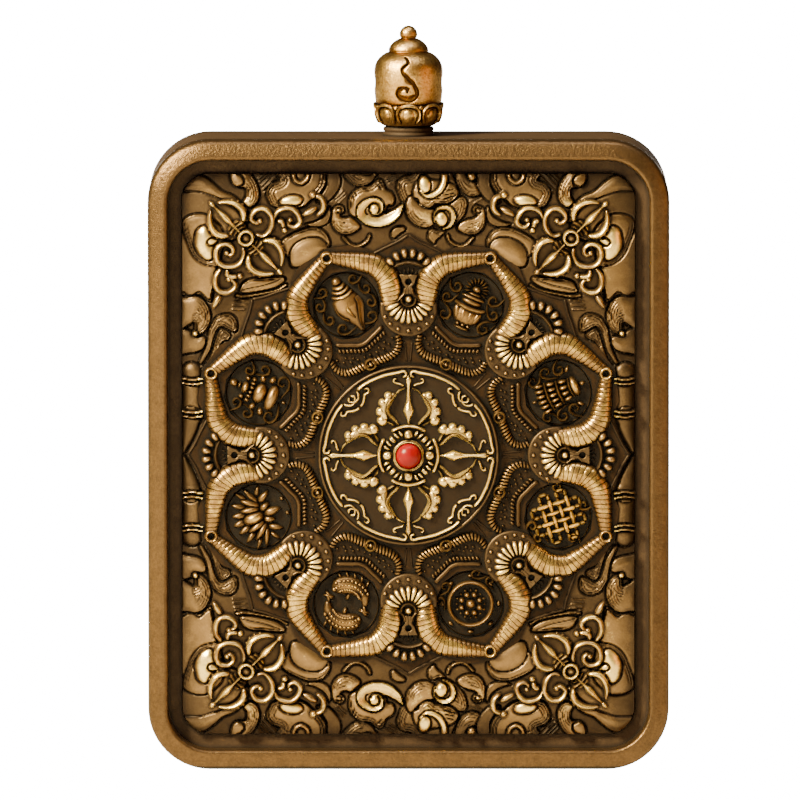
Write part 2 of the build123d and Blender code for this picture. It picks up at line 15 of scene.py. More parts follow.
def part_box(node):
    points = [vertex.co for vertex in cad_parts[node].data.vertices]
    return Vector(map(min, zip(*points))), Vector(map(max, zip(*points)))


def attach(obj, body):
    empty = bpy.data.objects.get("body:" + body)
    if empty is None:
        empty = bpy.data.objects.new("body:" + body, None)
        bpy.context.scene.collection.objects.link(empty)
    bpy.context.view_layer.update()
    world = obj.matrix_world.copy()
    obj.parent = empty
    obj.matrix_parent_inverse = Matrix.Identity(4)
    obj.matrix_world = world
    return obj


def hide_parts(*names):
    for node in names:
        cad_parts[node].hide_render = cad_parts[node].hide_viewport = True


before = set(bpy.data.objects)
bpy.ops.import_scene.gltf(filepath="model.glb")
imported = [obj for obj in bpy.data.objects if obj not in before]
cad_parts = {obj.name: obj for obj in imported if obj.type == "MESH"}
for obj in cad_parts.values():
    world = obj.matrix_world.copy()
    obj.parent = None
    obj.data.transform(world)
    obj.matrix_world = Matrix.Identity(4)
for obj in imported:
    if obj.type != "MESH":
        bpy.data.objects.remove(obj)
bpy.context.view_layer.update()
MM = 0.001
panel_low, panel_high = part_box("relief_panel")
FLOOR_Y = panel_high.y
MID_Z = (panel_low.z + panel_high.z) / 2
PANEL_HALF = (panel_high.x / MM, (panel_high.z - panel_low.z) / 2 / MM)
print("trench floor at y", round(FLOOR_Y / MM, 3), "mm, panel centre at z", round(MID_Z / MM, 3), "mm")

# %% [markdown]
# The carving is drawn flat, as a die sinker would draw it: x to the right and y up from the panel's
# centre, and z for the height over the trench floor, all in millimetres. It could be modelled in its
# place, but flat drawings keep the numbers readable. One matrix stands the drawing up on the box.
# Matrices multiply from the right, so the drawing is first scaled, then tipped up, then moved.

# %% The drawing's place on the box
UPRIGHT = Matrix.Rotation(math.pi / 2, 4, "X")
RELIEF = Matrix.Translation((0, FLOOR_Y, MID_Z)) @ UPRIGHT @ Matrix.Scale(MM, 4)
print("a point 1 mm over the floor lies at", (RELIEF @ Vector((0, 0, 1)))[:])

# %% [markdown]
# The photograph was taken from a little above with a long lens, so the camera stands far off and looks
# slightly down. A small strong lamp at the upper left gives the brass its hard highlights. A large soft
# one in front opens the shadows, and a weak warm one keeps the right side alive. One more hangs
# overhead, and one stands low behind for the back. The floor glows for the camera only, which keeps it
# white.

# %% The camera
stage = bpy.context.scene
SHOT_WIDTH = 0.0797
SHOT_AWAY = 1.5
SHOT_RISE = 5.0
SENSOR = 36.0
SHOT_AIM = Vector((-0.00085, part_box("bezel_frame")[0].y, 0.03712))

lens = bpy.data.cameras.new("shot")
lens.sensor_width = SENSOR
lens.lens = SENSOR * SHOT_AWAY / SHOT_WIDTH
lens.clip_end = 20.0
shot = bpy.data.objects.new("shot", lens)
stage.collection.objects.link(shot)
rise = math.radians(SHOT_RISE)
back = Vector((0, -math.cos(rise), math.sin(rise)))
shot.location = SHOT_AIM + back * SHOT_AWAY
shot.rotation_euler = back.to_track_quat("Z", "Y").to_euler()
stage.camera = shot
print("camera", [round(c, 3) for c in shot.location], "lens", round(lens.lens), "mm")


# %% Helpers for colours, nodes and lamps
def linear(tone):
    """A hex colour as the eye names it, turned into the light values that Blender works with."""
    parts = [int(tone[i : i + 2], 16) / 255 for i in (1, 3, 5)]
    return [p / 12.92 if p <= 0.04045 else ((p + 0.055) / 1.055) ** 2.4 for p in parts] + [1.0]


def put(tree, kind, settings=None, **sockets):
    """Adds one node, sets its own settings, and gives each named socket a value or a link."""
    node = tree.nodes.new(kind)
    for key, value in (settings or {}).items():
        setattr(node, key, value)
    for key, value in sockets.items():
        socket = node.inputs[int(key[1:])] if key[0] == "_" else node.inputs[key.replace("_", " ")]
        if isinstance(value, bpy.types.NodeSocket):
            tree.links.new(value, socket)
        else:
            socket.default_value = value
    return node


def new_tree(holder, keep):
    """Clears a node tree down to its output node."""
    holder.use_nodes = True
    tree = holder.node_tree
    for node in list(tree.nodes):
        if node.type != keep:
            tree.nodes.remove(node)
    return tree, next(node for node in tree.nodes if node.type == keep)


LAMP_AIM = Vector((0, 0, 0.035))


def lamp(name, where, size, power, tone):
    """An oblong lamp that looks at the middle of the box."""
    light = bpy.data.lights.new(name, "AREA")
    light.shape = "RECTANGLE"
    light.size, light.size_y = size
    light.energy = power
    light.color = linear(tone)[:3]
    holder = bpy.data.objects.new(name, light)
    stage.collection.objects.link(holder)
    holder.location = where
    holder.rotation_euler = (Vector(where) - LAMP_AIM).to_track_quat("Z", "Y").to_euler()


# %% The lamps and the sky
CAMERA_WHITE = 18.0
lamp("key_left", (-0.30, -0.28, 0.34), (0.12, 0.15), 13.6, "#ffecb4")
lamp("front_soft", (-0.30, -0.80, 0.28), (0.45, 0.45), 1.2, "#fff2de")
lamp("fill_right", (0.40, -0.22, 0.10), (0.16, 0.26), 0.42, "#ffa848")
lamp("top_soft", (0.02, -0.10, 0.46), (0.26, 0.12), 0.9, "#fff6ea")
lamp("back_soft", (0.0, 0.60, 0.035), (0.40, 0.06), 0.7, "#fff6ea")

sky = bpy.data.worlds.new("studio")
stage.world = sky
tree, out = new_tree(sky, "OUTPUT_WORLD")
seen = put(tree, "ShaderNodeLightPath").outputs["Is Camera Ray"]
room = put(tree, "ShaderNodeBackground", Color=linear("#b8a68c"), Strength=0.10)
white = put(tree, "ShaderNodeBackground", Color=linear("#ffffff"), Strength=CAMERA_WHITE)
mixed = put(tree, "ShaderNodeMixShader", _0=seen, _1=room.outputs[0], _2=white.outputs[0])
tree.links.new(mixed.outputs[0], out.inputs["Surface"])
print(len(bpy.data.lights), "lamps")

# %% The floor
bm = bmesh.new()
bmesh.ops.create_grid(bm, x_segments=1, y_segments=1, size=6.0)
mesh = bpy.data.meshes.new("floor")
bm.to_mesh(mesh)
bm.free()
pale = bpy.data.materials.new("pale_floor")
tree, out = new_tree(pale, "OUTPUT_MATERIAL")
seen = put(tree, "ShaderNodeLightPath").outputs["Is Camera Ray"]
matt = put(tree, "ShaderNodeBsdfDiffuse", Color=linear("#e6e3de"))
shine = put(tree, "ShaderNodeMath", {"operation": "MULTIPLY"}, _0=seen, _1=CAMERA_WHITE).outputs[0]
glow = put(tree, "ShaderNodeEmission", Color=linear("#ffffff"), Strength=shine)
both = put(tree, "ShaderNodeAddShader", _0=matt.outputs[0], _1=glow.outputs[0])
tree.links.new(both.outputs[0], out.inputs["Surface"])
mesh.materials.append(pale)
floor = bpy.data.objects.new("floor", mesh)
stage.collection.objects.link(floor)
print("floor", floor.dimensions[:2], "m")

# %% [markdown]
# Old brass is two metals to the eye: bright where hands rub it, and nearly black where wax and soot stay.
# Painted colours could show that, but they would have to be painted again after every change of shape.
# So the shader asks two things of each point: how high it lies on the relief, and how much it is hemmed
# in (ambient occlusion). The second one also paints shade into hollows and seams, over their patina.
# Their product drives the colour, the roughness and how metallic it is.

# %% How brass is made
# SHADE_POWER sharpens the shade that ambient occlusion paints into hollows.
PATCH_SIZE, PATCH_DRIFT, SHADE_POWER = 1 / 0.9, 0.30, 1.5
DUST, DUST_FOR_DEPTH = 0.12, 4
PATINA_SHADE_END, METAL_START = 0.08, 0.40


def fitted(size):
    """The noise scale at which one feature of a pattern is this many millimetres wide."""
    return 1 / (size * MM)


def brass(name, tones, low, high, rub, speck, speck_depth, gloss, crevice=0.45, metal=(0.55, 0.85)):
    """Brass whose hollows keep a dark patina, deepened by shade painted in from ambient occlusion.

    low and high are heights over the trench floor, and rub is how rubbed the brass is at each of them.
    speck and speck_depth are the size and the depth of the grain, and crevice is how near a wall has to
    be for painted shade in a hollow, all in mm. gloss and metal are the roughness and the metallic share
    of dark and of bright brass.
    """
    finish = bpy.data.materials.new(name)
    tree, out = new_tree(finish, "OUTPUT_MATERIAL")
    spot = put(tree, "ShaderNodeTexCoord").outputs["Object"]
    place_y = put(tree, "ShaderNodeSeparateXYZ", Vector=spot).outputs["Y"]
    near, far = FLOOR_Y - low * MM, FLOOR_Y - high * MM
    height = put(
        tree, "ShaderNodeMapRange", Value=place_y, From_Min=near, From_Max=far, To_Min=rub[0], To_Max=rub[1]
    ).outputs[0]
    # Painted shade: ambient occlusion darkens hollows and seams in the colour, over their patina.
    open_air = put(tree, "ShaderNodeAmbientOcclusion", {"samples": 6}, Distance=crevice * MM).outputs["AO"]
    unshaded = put(tree, "ShaderNodeMath", {"operation": "POWER"}, _0=open_air, _1=SHADE_POWER).outputs[0]
    rub_and_shade = put(tree, "ShaderNodeMath", {"operation": "MULTIPLY"}, _0=unshaded, _1=height).outputs[0]
    patina = put(
        tree, "ShaderNodeTexNoise", Vector=spot, Scale=fitted(PATCH_SIZE), Detail=5.0, Roughness=0.6,
    )
    patches = patina.outputs["Fac"]
    spread = {"operation": "MULTIPLY_ADD"}
    drift = put(tree, "ShaderNodeMath", spread, _0=patches, _1=PATCH_DRIFT, _2=-PATCH_DRIFT / 2).outputs[0]
    sand = put(tree, "ShaderNodeTexNoise", Vector=spot, Scale=fitted(speck), Detail=3.0, Roughness=0.7)
    grain = sand.outputs["Fac"]
    dust = DUST + DUST_FOR_DEPTH * speck_depth
    fleck = put(tree, "ShaderNodeMath", spread, _0=grain, _1=dust, _2=-dust / 2).outputs[0]
    patch = put(tree, "ShaderNodeMath", {"operation": "ADD"}, _0=drift, _1=fleck).outputs[0]
    # Rubbing, painted shade, random patches and grain together pick the tone, the roughness and the metal.
    wear_and_shade = put(
        tree, "ShaderNodeMath", {"operation": "ADD", "use_clamp": True}, _0=rub_and_shade, _1=patch,
    ).outputs[0]
    ramp = put(tree, "ShaderNodeValToRGB", Fac=wear_and_shade)
    stops = ramp.color_ramp.elements
    for k, (share, tone) in enumerate(tones):
        stop = stops[k] if k < 2 else stops.new(share)
        stop.position = share
        stop.color = linear(tone)
    bump = put(tree, "ShaderNodeBump", Strength=1.0, Distance=speck_depth * MM, Height=grain).outputs[0]
    pure = put(
        tree, "ShaderNodeMapRange", Value=wear_and_shade, From_Min=PATINA_SHADE_END, From_Max=METAL_START, To_Min=metal[0],
        To_Max=metal[1],
    )
    rough = put(tree, "ShaderNodeMapRange", Value=wear_and_shade, To_Min=gloss[0], To_Max=gloss[1])
    shader = put(
        tree, "ShaderNodeBsdfPrincipled", Base_Color=ramp.outputs[0], Metallic=pure.outputs[0],
        Roughness=rough.outputs[0], Normal=bump,
    )
    tree.links.new(shader.outputs[0], out.inputs["Surface"])
    return finish


# %% [markdown]
# Each finish has its own list of tones, from patina and painted shade to rubbed metal, and its own span
# of heights. Grain is given as the size of one speck in millimetres. Real cast brass is finer, and it is
# drawn as coarse as a sixth to two fifths of a millimetre so that it shows. The coral's veins are two
# thirds of a millimetre wide.

# %% The brass finishes and the coral
FINE_SPECK, SAND_SPECK, RIM_SPECK = 1 / 6, 1 / 5, 1 / 3.6
SIDE_SPECK, POLISH_SPECK, CUP_SPECK, VEIN_SIZE = 1 / 2.6, 1 / 4.2, 1 / 2.4, 1 / 1.5
RELIEF_TONES = [(0.0, "#0c0704"), (0.3, "#281c12"), (0.6, "#52412e"), (0.86, "#8f724d"), (1.0, "#ffe08a")]
HORN_TONES = [(0.0, "#0c0704"), (0.3, "#281b10"), (0.6, "#503d28"), (0.86, "#8a6b44"), (1.0, "#ffd97e")]
PATINA_AND_SHADE_TONES = [(0.0, "#060403"), (0.25, "#140d08"), (0.55, "#3c2a19"), (1.0, "#967044")]
# Brown hollows, patina deepened by painted shade, and pale gold ridges lift the scrolls and the crossed
# vajra off the ground.
relief_brass = brass(
    "antiqued_relief_brass", RELIEF_TONES, 0.6, 2.2, (0.5, 0.96), FINE_SPECK, 0.012, (0.5, 0.26), 0.5,
)
# Deep bronze with hard highlights makes the horns look round and heavy.
horn_brass = brass(
    "bright_horn_brass", HORN_TONES, 1.05, 1.95, (0.34, 0.89), FINE_SPECK, 0.012, (0.42, 0.22), 0.4,
)
# Dark up to the petals' backs, with painted shade in the hollows, so that only the petals are bright.
fan_brass = brass(
    "low_darkened_fan_brass", RELIEF_TONES, 1.55, 2.3, (0.32, 1.0), FINE_SPECK, 0.012, (0.55, 0.3), 0.4,
)
# Nearly black from dark patina and painted shade, so that the mandala's ground sinks away behind all that
# stands on it.
ground_brass = brass(
    "patina_and_shade_ground_brass", PATINA_AND_SHADE_TONES, 0.3, 1.7, (0.12, 0.6), SAND_SPECK, 0.02, (0.6, 0.4), 0.5,
)
# Dull brown with rubbed crests lets the ropes twinkle without drawing the eye.
rope_brass = brass(
    "rubbed_rope_brass", HORN_TONES, 1.1, 1.95, (0.15, 0.88), FINE_SPECK, 0.012, (0.55, 0.3), 0.4,
)
# Brown that turns gold over a low swell makes the clouds one rubbed casting.
cloud_brass = brass(
    "rubbed_cloud_brass", RELIEF_TONES, 0.75, 1.6, (0.36, 1.0), SAND_SPECK, 0.015, (0.55, 0.28), 0.35,
)
# A dark disc, with painted shade between its wires, sets off the bright wires on it.
disc_brass = brass(
    "darkened_disc_brass", RELIEF_TONES, 1.86, 2.35, (0.2, 1.0), SAND_SPECK, 0.015, (0.6, 0.3), 0.4,
)
# Patina and painted shade in the hollows, with rubbed masses, keep the signs half hidden in their wells.
sign_brass = brass(
    "shaded_sign_brass", HORN_TONES, 0.7, 1.75, (0.45, 0.9), FINE_SPECK, 0.012, (0.5, 0.3), 0.25,
)
# Less painted shade in tight gaps keeps the knot's strands readable.
knot_brass = brass(
    "rubbed_knot_brass", HORN_TONES, 0.6, 1.6, (0.5, 1.0), FINE_SPECK, 0.012, (0.5, 0.3), 0.12,
)
# An even, lightly grained satin frames the carving.
rim_brass = brass(
    "grained_rim_brass", [(0.0, "#120c08"), (0.4, "#2b2116"), (0.75, "#473623"), (1.0, "#664e34")],
    -1.0, 0.5, (0.9, 0.9), RIM_SPECK, 0.055, (0.45, 0.32), 0.4,
)
# Dull dark metal for the sides, the pin and the neck ring; in the trench this darkness is painted shade.
dark_brass = brass(
    "dark_side_brass", [(0.0, "#0e0906"), (0.5, "#34251a"), (1.0, "#604a33")],
    -1.0, 0.5, (0.6, 0.6), SIDE_SPECK, 0.03, (0.8, 0.6), 0.4, (0.2, 0.5),
)
# The vase is polished by hands, with a warm shine, and painted shade darkens it along its seams.
polished_brass = brass(
    "hand_polished_brass", [(0.0, "#0c0602"), (0.45, "#3e240c"), (0.75, "#8e5c20"), (1.0, "#ffd68a")],
    -1.0, 0.5, (0.86, 0.86), POLISH_SPECK, 0.05, (0.45, 0.3), 1.6, (0.85, 1.0),
)
# Seams blackened by painted shade and bright lips outline each lotus petal.
cup_brass = brass(
    "seam_shaded_lotus_brass", [(0.0, "#080402"), (0.55, "#2a180a"), (0.82, "#6a4419"), (1.0, "#f4cc84")],
    -1.0, 0.5, (0.92, 0.92), CUP_SPECK, 0.02, (0.55, 0.3), 0.4, (0.7, 0.95),
)

# Deep red with faint veins and a soft shine is the one colour on the box.
coral = bpy.data.materials.new("polished_coral")
tree, out = new_tree(coral, "OUTPUT_MATERIAL")
spot = put(tree, "ShaderNodeTexCoord").outputs["Object"]
vein = put(tree, "ShaderNodeTexNoise", Vector=spot, Scale=fitted(VEIN_SIZE), Detail=4.0).outputs["Fac"]
ramp = put(tree, "ShaderNodeValToRGB", Fac=vein)
ramp.color_ramp.elements[0].color = linear("#600107")
ramp.color_ramp.elements[1].color = linear("#88010b")
shader = put(
    tree, "ShaderNodeBsdfPrincipled", Base_Color=ramp.outputs[0], Roughness=0.3, Specular_IOR_Level=0.25,
)
tree.links.new(shader.outputs[0], out.inputs["Surface"])
print(
    "finishes:", [finish.name for finish in bpy.data.materials if finish.name.endswith(("brass", "coral"))],
)

# %% [markdown]
# Nearly all of the ornament is one idea: a half-round section pushed along a drawn line, thick here and
# thin there. A curve with a bevel could do that too, but its section can't grow wide and low in one
# place and narrow and high in the next. So the section is extruded step by step, and each step's matrix
# turns and scales the new ring. Knobs and petals are stretched spheres, and rings are spun.

# %% Places and sections
def at(u, v, h, turn=0.0, size=(1, 1, 1)):
    """A place on the drawing, turned by degrees and stretched."""
    spun = Matrix.Rotation(math.radians(turn), 4, "Z")
    return Matrix.Translation((u, v, h)) @ spun @ Matrix.Diagonal((*size, 1))


def verts_of(geom):
    """Only the corners out of what a mesh step gives back."""
    return [g for g in geom if isinstance(g, bmesh.types.BMVert)]


def edges_of(geom):
    """Only the edges out of what a mesh step gives back."""
    return [g for g in geom if isinstance(g, bmesh.types.BMEdge)]


def arch(count, foot=-0.6):
    """A half-round section as (across, up) pairs, with square feet below the ground."""
    top = [(math.cos(math.pi * k / count), math.sin(math.pi * k / count)) for k in range(count + 1)]
    return [(1, foot)] + top + [(-1, foot)]


ROUND = arch(8)
SLIM = arch(4)
SHELL = [
    (1, -0.6), (1, 0.25), (0.93, 0.8), (0.74, 1.0), (0.5, 0.9), (0.1, 0.62), (-0.4, 0.42), (-0.85, 0.36),
    (-1, 0.2), (-1, -0.6),
]
print("sections of", len(ROUND), len(SLIM), "and", len(SHELL), "points")


# %% Sweeps along a drawn line
def track(points):
    """Even steps along a smooth line through the points, with the heading at each."""
    pts = np.array(points, float)
    ends = np.vstack([2 * pts[0] - pts[1], pts, 2 * pts[-1] - pts[-2]])
    t = np.linspace(0, 1, 16, endpoint=False)[:, None]
    fine = []
    for i in range(len(pts) - 1):
        a, b, c, d = ends[i : i + 4]
        square, cube = 2 * a - 5 * b + 4 * c - d, 3 * b - a - 3 * c + d
        fine.append(0.5 * (2 * b + (c - a) * t + square * t**2 + cube * t**3))
    fine = np.vstack(fine + [pts[-1:]])
    run = np.r_[0, np.cumsum(np.linalg.norm(np.diff(fine, axis=0), axis=1))]
    return fine, run


def sweep(
    bm, points, width, height, base, section=ROUND, steps=20, ribs=0, groove=0.07, cut=0.08, slant=0.0,
    blunt=False,
):
    """Pushes a section along the line; width and height run evenly along it, and ribs groove it."""
    fine, run = track(points)
    if ribs:
        one = np.array([0.0, cut, 0.5, 1 - cut])
        share = np.concatenate([(k + one) / ribs for k in range(ribs)] + [[1.0]])
        swell = np.r_[np.tile([1 - groove, 0.995, 1.01, 0.995], ribs), 1 - groove]
    else:
        tip = 0.0 if blunt else min(0.3, abs(width[0]) / run[-1])
        tail = 0.0 if blunt else min(0.3, abs(width[-1]) / run[-1])
        share = np.r_[np.linspace(tip, 1 - tail, steps + 1)]
        swell = np.ones(steps + 1)
        if not blunt:
            share = np.r_[0, tip * 0.25, share, 1 - tail * 0.25, 1]
            swell = np.r_[0.15, 0.66, swell, 0.66, 0.15]
    along = share * run[-1]
    spots = np.column_stack([np.interp(along, run, fine[:, k]) for k in (0, 1)])
    ahead = np.column_stack([np.interp(along + 0.02, run, fine[:, k]) for k in (0, 1)])
    behind = np.column_stack([np.interp(along - 0.02, run, fine[:, k]) for k in (0, 1)])
    way = ahead - behind
    wide = np.interp(share, np.linspace(0, 1, len(width)), width) * swell
    tall = np.interp(share, np.linspace(0, 1, len(height)), height) * swell
    low = np.interp(share, np.linspace(0, 1, len(base)), base)
    last = edges = None
    for i in range(len(share)):
        heading = math.degrees(math.atan2(way[i][1], way[i][0])) - 90 + slant
        here = at(*spots[i], low[i], heading, (wide[i], 1, tall[i]))
        if last is None:
            loop = [bm.verts.new(here @ Vector((s, 0, t))) for s, t in section]
            edges = [bm.edges.new((loop[k - 1], loop[k])) for k in range(len(loop))]
            bm.faces.new(loop)
        else:
            grown = bmesh.ops.extrude_edge_only(bm, edges=edges)["geom"]
            loop = verts_of(grown)
            own = set(loop)
            edges = [edge for edge in edges_of(grown) if own.issuperset(edge.verts)]
            bmesh.ops.transform(bm, matrix=here @ last.inverted(), verts=loop)
        last = here
    bmesh.ops.contextual_create(bm, geom=edges)


def wire(bm, points, half, base, steps=16, section=SLIM, rise=1.0):
    """An even wire along a line; rise is its height for each unit of its half width."""
    sweep(bm, points, [half], [half * rise], [base], section, steps)


# %% Balls, rings and plates
def dome(bm, u, v, h, size, turn=0.0, cuts=(12, 8), taper=0.0):
    """A stretched ball set half in the ground; taper makes it slimmer towards its low y end."""
    made = bmesh.ops.create_uvsphere(bm, u_segments=cuts[0], v_segments=cuts[1], radius=1.0)["verts"]
    for vert in made:
        vert.co.x *= 1 + taper * vert.co.y
    bmesh.ops.transform(bm, matrix=at(u, v, h, turn, size), verts=made)


def ring(bm, u, v, h, radius, half, rise, steps=28, section=SLIM, arc=360.0, start=0.0):
    """Spins a section about an upright axis; a full turn is merged where it meets itself."""
    first = at(u, v, h, start)
    loop = [bm.verts.new(first @ Vector((radius + s * half, 0, t * rise))) for s, t in section]
    edges = [bm.edges.new((loop[k - 1], loop[k])) for k in range(len(loop))]
    whole = arc >= 360
    if not whole:
        bm.faces.new(loop)
    last = bmesh.ops.spin(
        bm, geom=loop + edges, cent=(u, v, h), axis=(0, 0, 1), angle=math.radians(arc), steps=steps,
        use_merge=whole,
    )["geom_last"]
    if not whole:
        bmesh.ops.contextual_create(bm, geom=edges_of(last))


def slab(bm, outline, low, high, edge, cuts=3):
    """A plate cut to an outline, with its upper edge rounded over."""
    face = bm.faces.new([bm.verts.new((p[0], p[1], low)) for p in outline])
    top = bmesh.ops.extrude_face_region(bm, geom=[face])["geom"]
    bmesh.ops.translate(bm, vec=(0, 0, high - low), verts=verts_of(top))
    bmesh.ops.bevel(
        bm, geom=edges_of(top), offset=edge, segments=cuts, profile=0.5, affect="EDGES", material=-1,
        clamp_overlap=True,
    )


# %% How a piece is set on the box
MANY_SIDES, CREASE = 8, math.radians(48)


def place(bm, name, body, slot, finish, *nodes, turn=0.0, frame_at=RELIEF):
    """Closes seams, turns faces outwards, and stands the drawing up on the box as one piece."""
    bmesh.ops.remove_doubles(bm, verts=bm.verts, dist=1e-5)
    bmesh.ops.recalc_face_normals(bm, faces=bm.faces)
    for edge in bm.edges:
        flat_top = any(len(face.verts) > MANY_SIDES for face in edge.link_faces)
        edge.smooth = not flat_top and edge.calc_face_angle(0.0) < CREASE
    for face in bm.faces:
        face.smooth = True
    mesh = bpy.data.meshes.new(name)
    bm.to_mesh(mesh)
    mesh.transform(frame_at @ Matrix.Rotation(math.radians(turn), 4, "Z"))
    if frame_at.determinant() < 0:
        mesh.flip_normals()
    mesh.materials.append(finish)
    piece = bpy.data.objects.new(name, mesh)
    stage.collection.objects.link(piece)
    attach(piece, body)
    if nodes:
        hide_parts(*nodes)
    return piece


def mirrored(points, turn):
    """The same line on the other side of a ray at that angle from the centre."""
    c, s = math.cos(math.radians(2 * turn)), math.sin(math.radians(2 * turn))
    return [(c * u + s * v, s * u - c * v) for u, v in points]


def polar(radius, turn):
    """A point at a distance from the centre, in a direction given in degrees."""
    return radius * math.cos(math.radians(turn)), radius * math.sin(math.radians(turn))


print("a point 10 mm out at 45 degrees:", polar(10, 45))

# %% [markdown]
# The rim is a moulding with a rounded outer edge and a broad face that climbs to a small lip by the
# trench. A bevelled box would be quicker, but it couldn't have this section all the way round. So the
# section is pushed up one side, spun round the corner, pushed along the top, and so on until it meets
# its own start, where the seam is merged.

# %% The rim
rim_low, rim_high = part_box("bezel_frame")
RIM_HALF = (rim_high.x / MM, (rim_high.z - rim_low.z) / 2 / MM)
RIM_CORNER = 6.2
RIM_SECTION = [
    (0, 0), (0, 1.7), (0.05, 2.0), (0.18, 2.24), (0.4, 2.4), (0.8, 2.54), (1.2, 2.67), (1.55, 2.77),
    (1.72, 2.78), (1.88, 2.68), (2.0, 2.42), (2.0, 0),
]
bm = bmesh.new()
loop = [bm.verts.new((RIM_HALF[0] - d, RIM_CORNER - RIM_HALF[1], h)) for d, h in RIM_SECTION]
edges = [bm.edges.new((loop[k - 1], loop[k])) for k in range(len(loop))]
WAYS = [(0, 1, 0), (-1, 0, 0), (0, -1, 0), (1, 0, 0)]
CORNERS = [(1, 1), (-1, 1), (-1, -1), (1, -1)]
SIDE_STEPS, CORNER_STEPS = 12, 14
for turn, (way, (right, up)) in enumerate(zip(WAYS, CORNERS)):
    stride = Vector(way) * (2 * (RIM_HALF[1 - turn % 2] - RIM_CORNER) / SIDE_STEPS)
    for k in range(SIDE_STEPS):
        grown = bmesh.ops.extrude_edge_only(bm, edges=edges)["geom"]
        front = verts_of(grown)
        edges = [edge for edge in edges_of(grown) if set(front).issuperset(edge.verts)]
        bmesh.ops.translate(bm, vec=stride, verts=front)
    pivot = (right * (RIM_HALF[0] - RIM_CORNER), up * (RIM_HALF[1] - RIM_CORNER), 0)
    last = bmesh.ops.spin(
        bm, geom=front + edges, cent=pivot, axis=(0, 0, 1), angle=math.pi / 2, steps=CORNER_STEPS
    )["geom_last"]
    edges = edges_of(last)
bmesh.ops.remove_doubles(bm, verts=bm.verts, dist=1e-3)
place(bm, "rim", "case", "satin_brass", rim_brass, "bezel_frame")
print("rim", len(bm.faces), "faces")
bm.free()

# %% [markdown]
# Inside the rim lies the carved panel, one casting full of clouds. Swept pieces could stand for them,
# but gaps would show between. A die sinker cuts such clouds into one block, each laid over the last,
# and here a fine grid is raised in the same way. Every pad, roll and hair line is a drawn curve. Numpy
# finds how far each grid point lies from the curve, and that gives its height.

# %% Tools that raise a grid from drawn curves
def even_line(points, count, closed=False):
    """Evenly spaced points on the smooth curve through the drawn ones."""
    fine, run = track(points + points[:1] if closed else points)
    steps = np.linspace(0, run[-1], count)
    return np.column_stack([np.interp(steps, run, fine[:, k]) for k in (0, 1)])


def from_line(spots, line):
    """For each spot: its distance from the line, its share along it, and +1 where it lies to the right."""
    start, step = line[:-1], np.diff(line, axis=0)
    reach = spots[:, None] - start
    share = np.clip((reach * step).sum(2) / (step**2).sum(1), 0, 1)
    gap = np.linalg.norm(reach - share[..., None] * step, axis=2)
    best = gap.argmin(1)
    row = np.arange(len(spots))
    turn = step[best, 0] * reach[row, best, 1] - step[best, 1] * reach[row, best, 0]
    return gap[row, best], (best + share[row, best]) / len(step), np.where(turn > 0, -1, 1)


def within(spots, line):
    """True where a spot lies inside a closed line: a ray to the right crosses it an odd number of times."""
    low, high = line[:-1], line[1:]
    across = (low[:, 1] > spots[:, None, 1]) != (high[:, 1] > spots[:, None, 1])
    rise = np.where(high[:, 1] == low[:, 1], 1.0, high[:, 1] - low[:, 1])
    meet = low[:, 0] + (spots[:, None, 1] - low[:, 1]) * (high[:, 0] - low[:, 0]) / rise
    return (across & (spots[:, None, 0] < meet)).sum(1) % 2 == 1


def close_to(spots, line, margin):
    """The numbers of the spots near a line, so that the rest need no measuring."""
    return np.flatnonzero(np.all((spots > line.min(0) - margin) & (spots < line.max(0) + margin), axis=1))


SHADE_DEPTH, PAD_SHADE, ROLL_SHADE = 0.2, 0.17, 0.16
LIP_RISE, LIP_IN, LIP_HALF = 0.08, 0.14, 0.08
COMB_DEPTH, COMB_IN, COMB_STEP, COMB_HALF = 0.13, 0.24, 0.26, 0.07


def shade(level, away, width):
    """Sinks the ground in a fine dark line beside a form."""
    return level - SHADE_DEPTH * np.clip(1 - away / width, 0, 1)


def ridge(gap, half):
    """A bell-shaped ridge, one high, round the places where the gap is nought."""
    return np.exp(-((gap / half) ** 2))


def lay_pad(level, spots, outline, top, swell, edge, combed, facing):
    """A cloud pad with a rounded edge, a fine dark line round it, and combed lines along its edge."""
    line = even_line(outline, 90, True)
    rows = close_to(spots, line, 0.3)
    gap = from_line(spots[rows], line)[0]
    inner = within(spots[rows], line)
    up = top - swell * (1 - np.sqrt(1 - (1 - np.clip(gap / edge, 0, 1)) ** 2))
    up += LIP_RISE * ridge(gap - LIP_IN, LIP_HALF)
    away = spots[rows] - line.mean(0)
    turned = np.cos(np.arctan2(away[:, 1], away[:, 0]) - math.radians(facing or 0))
    for k in range(combed):
        up -= COMB_DEPTH * ridge(gap - COMB_IN - COMB_STEP * k, COMB_HALF) * np.clip(2 * turned, 0, 1)
    level[rows] = np.where(inner, up, shade(level[rows], gap, PAD_SHADE))


def lay_roll(level, spots, points, width, rise, base, section):
    """A roll pressed on along a line, with the same sections as the swept pieces."""
    line = even_line(points, 70)
    rows = close_to(spots, line, max(np.abs(width)) + 0.2)
    gap, share, side = from_line(spots[rows], line)
    wide = np.interp(share, np.linspace(0, 1, len(width)), width)
    across = side * gap / wide
    s, t = zip(*sorted(p for p in section if p[1] > -0.5))
    up = base + rise * np.interp(across, s, t)
    shadow = shade(level[rows], gap - np.abs(wide), ROLL_SHADE)
    level[rows] = np.where(np.abs(across) < 1, np.maximum(up, level[rows]), shadow)


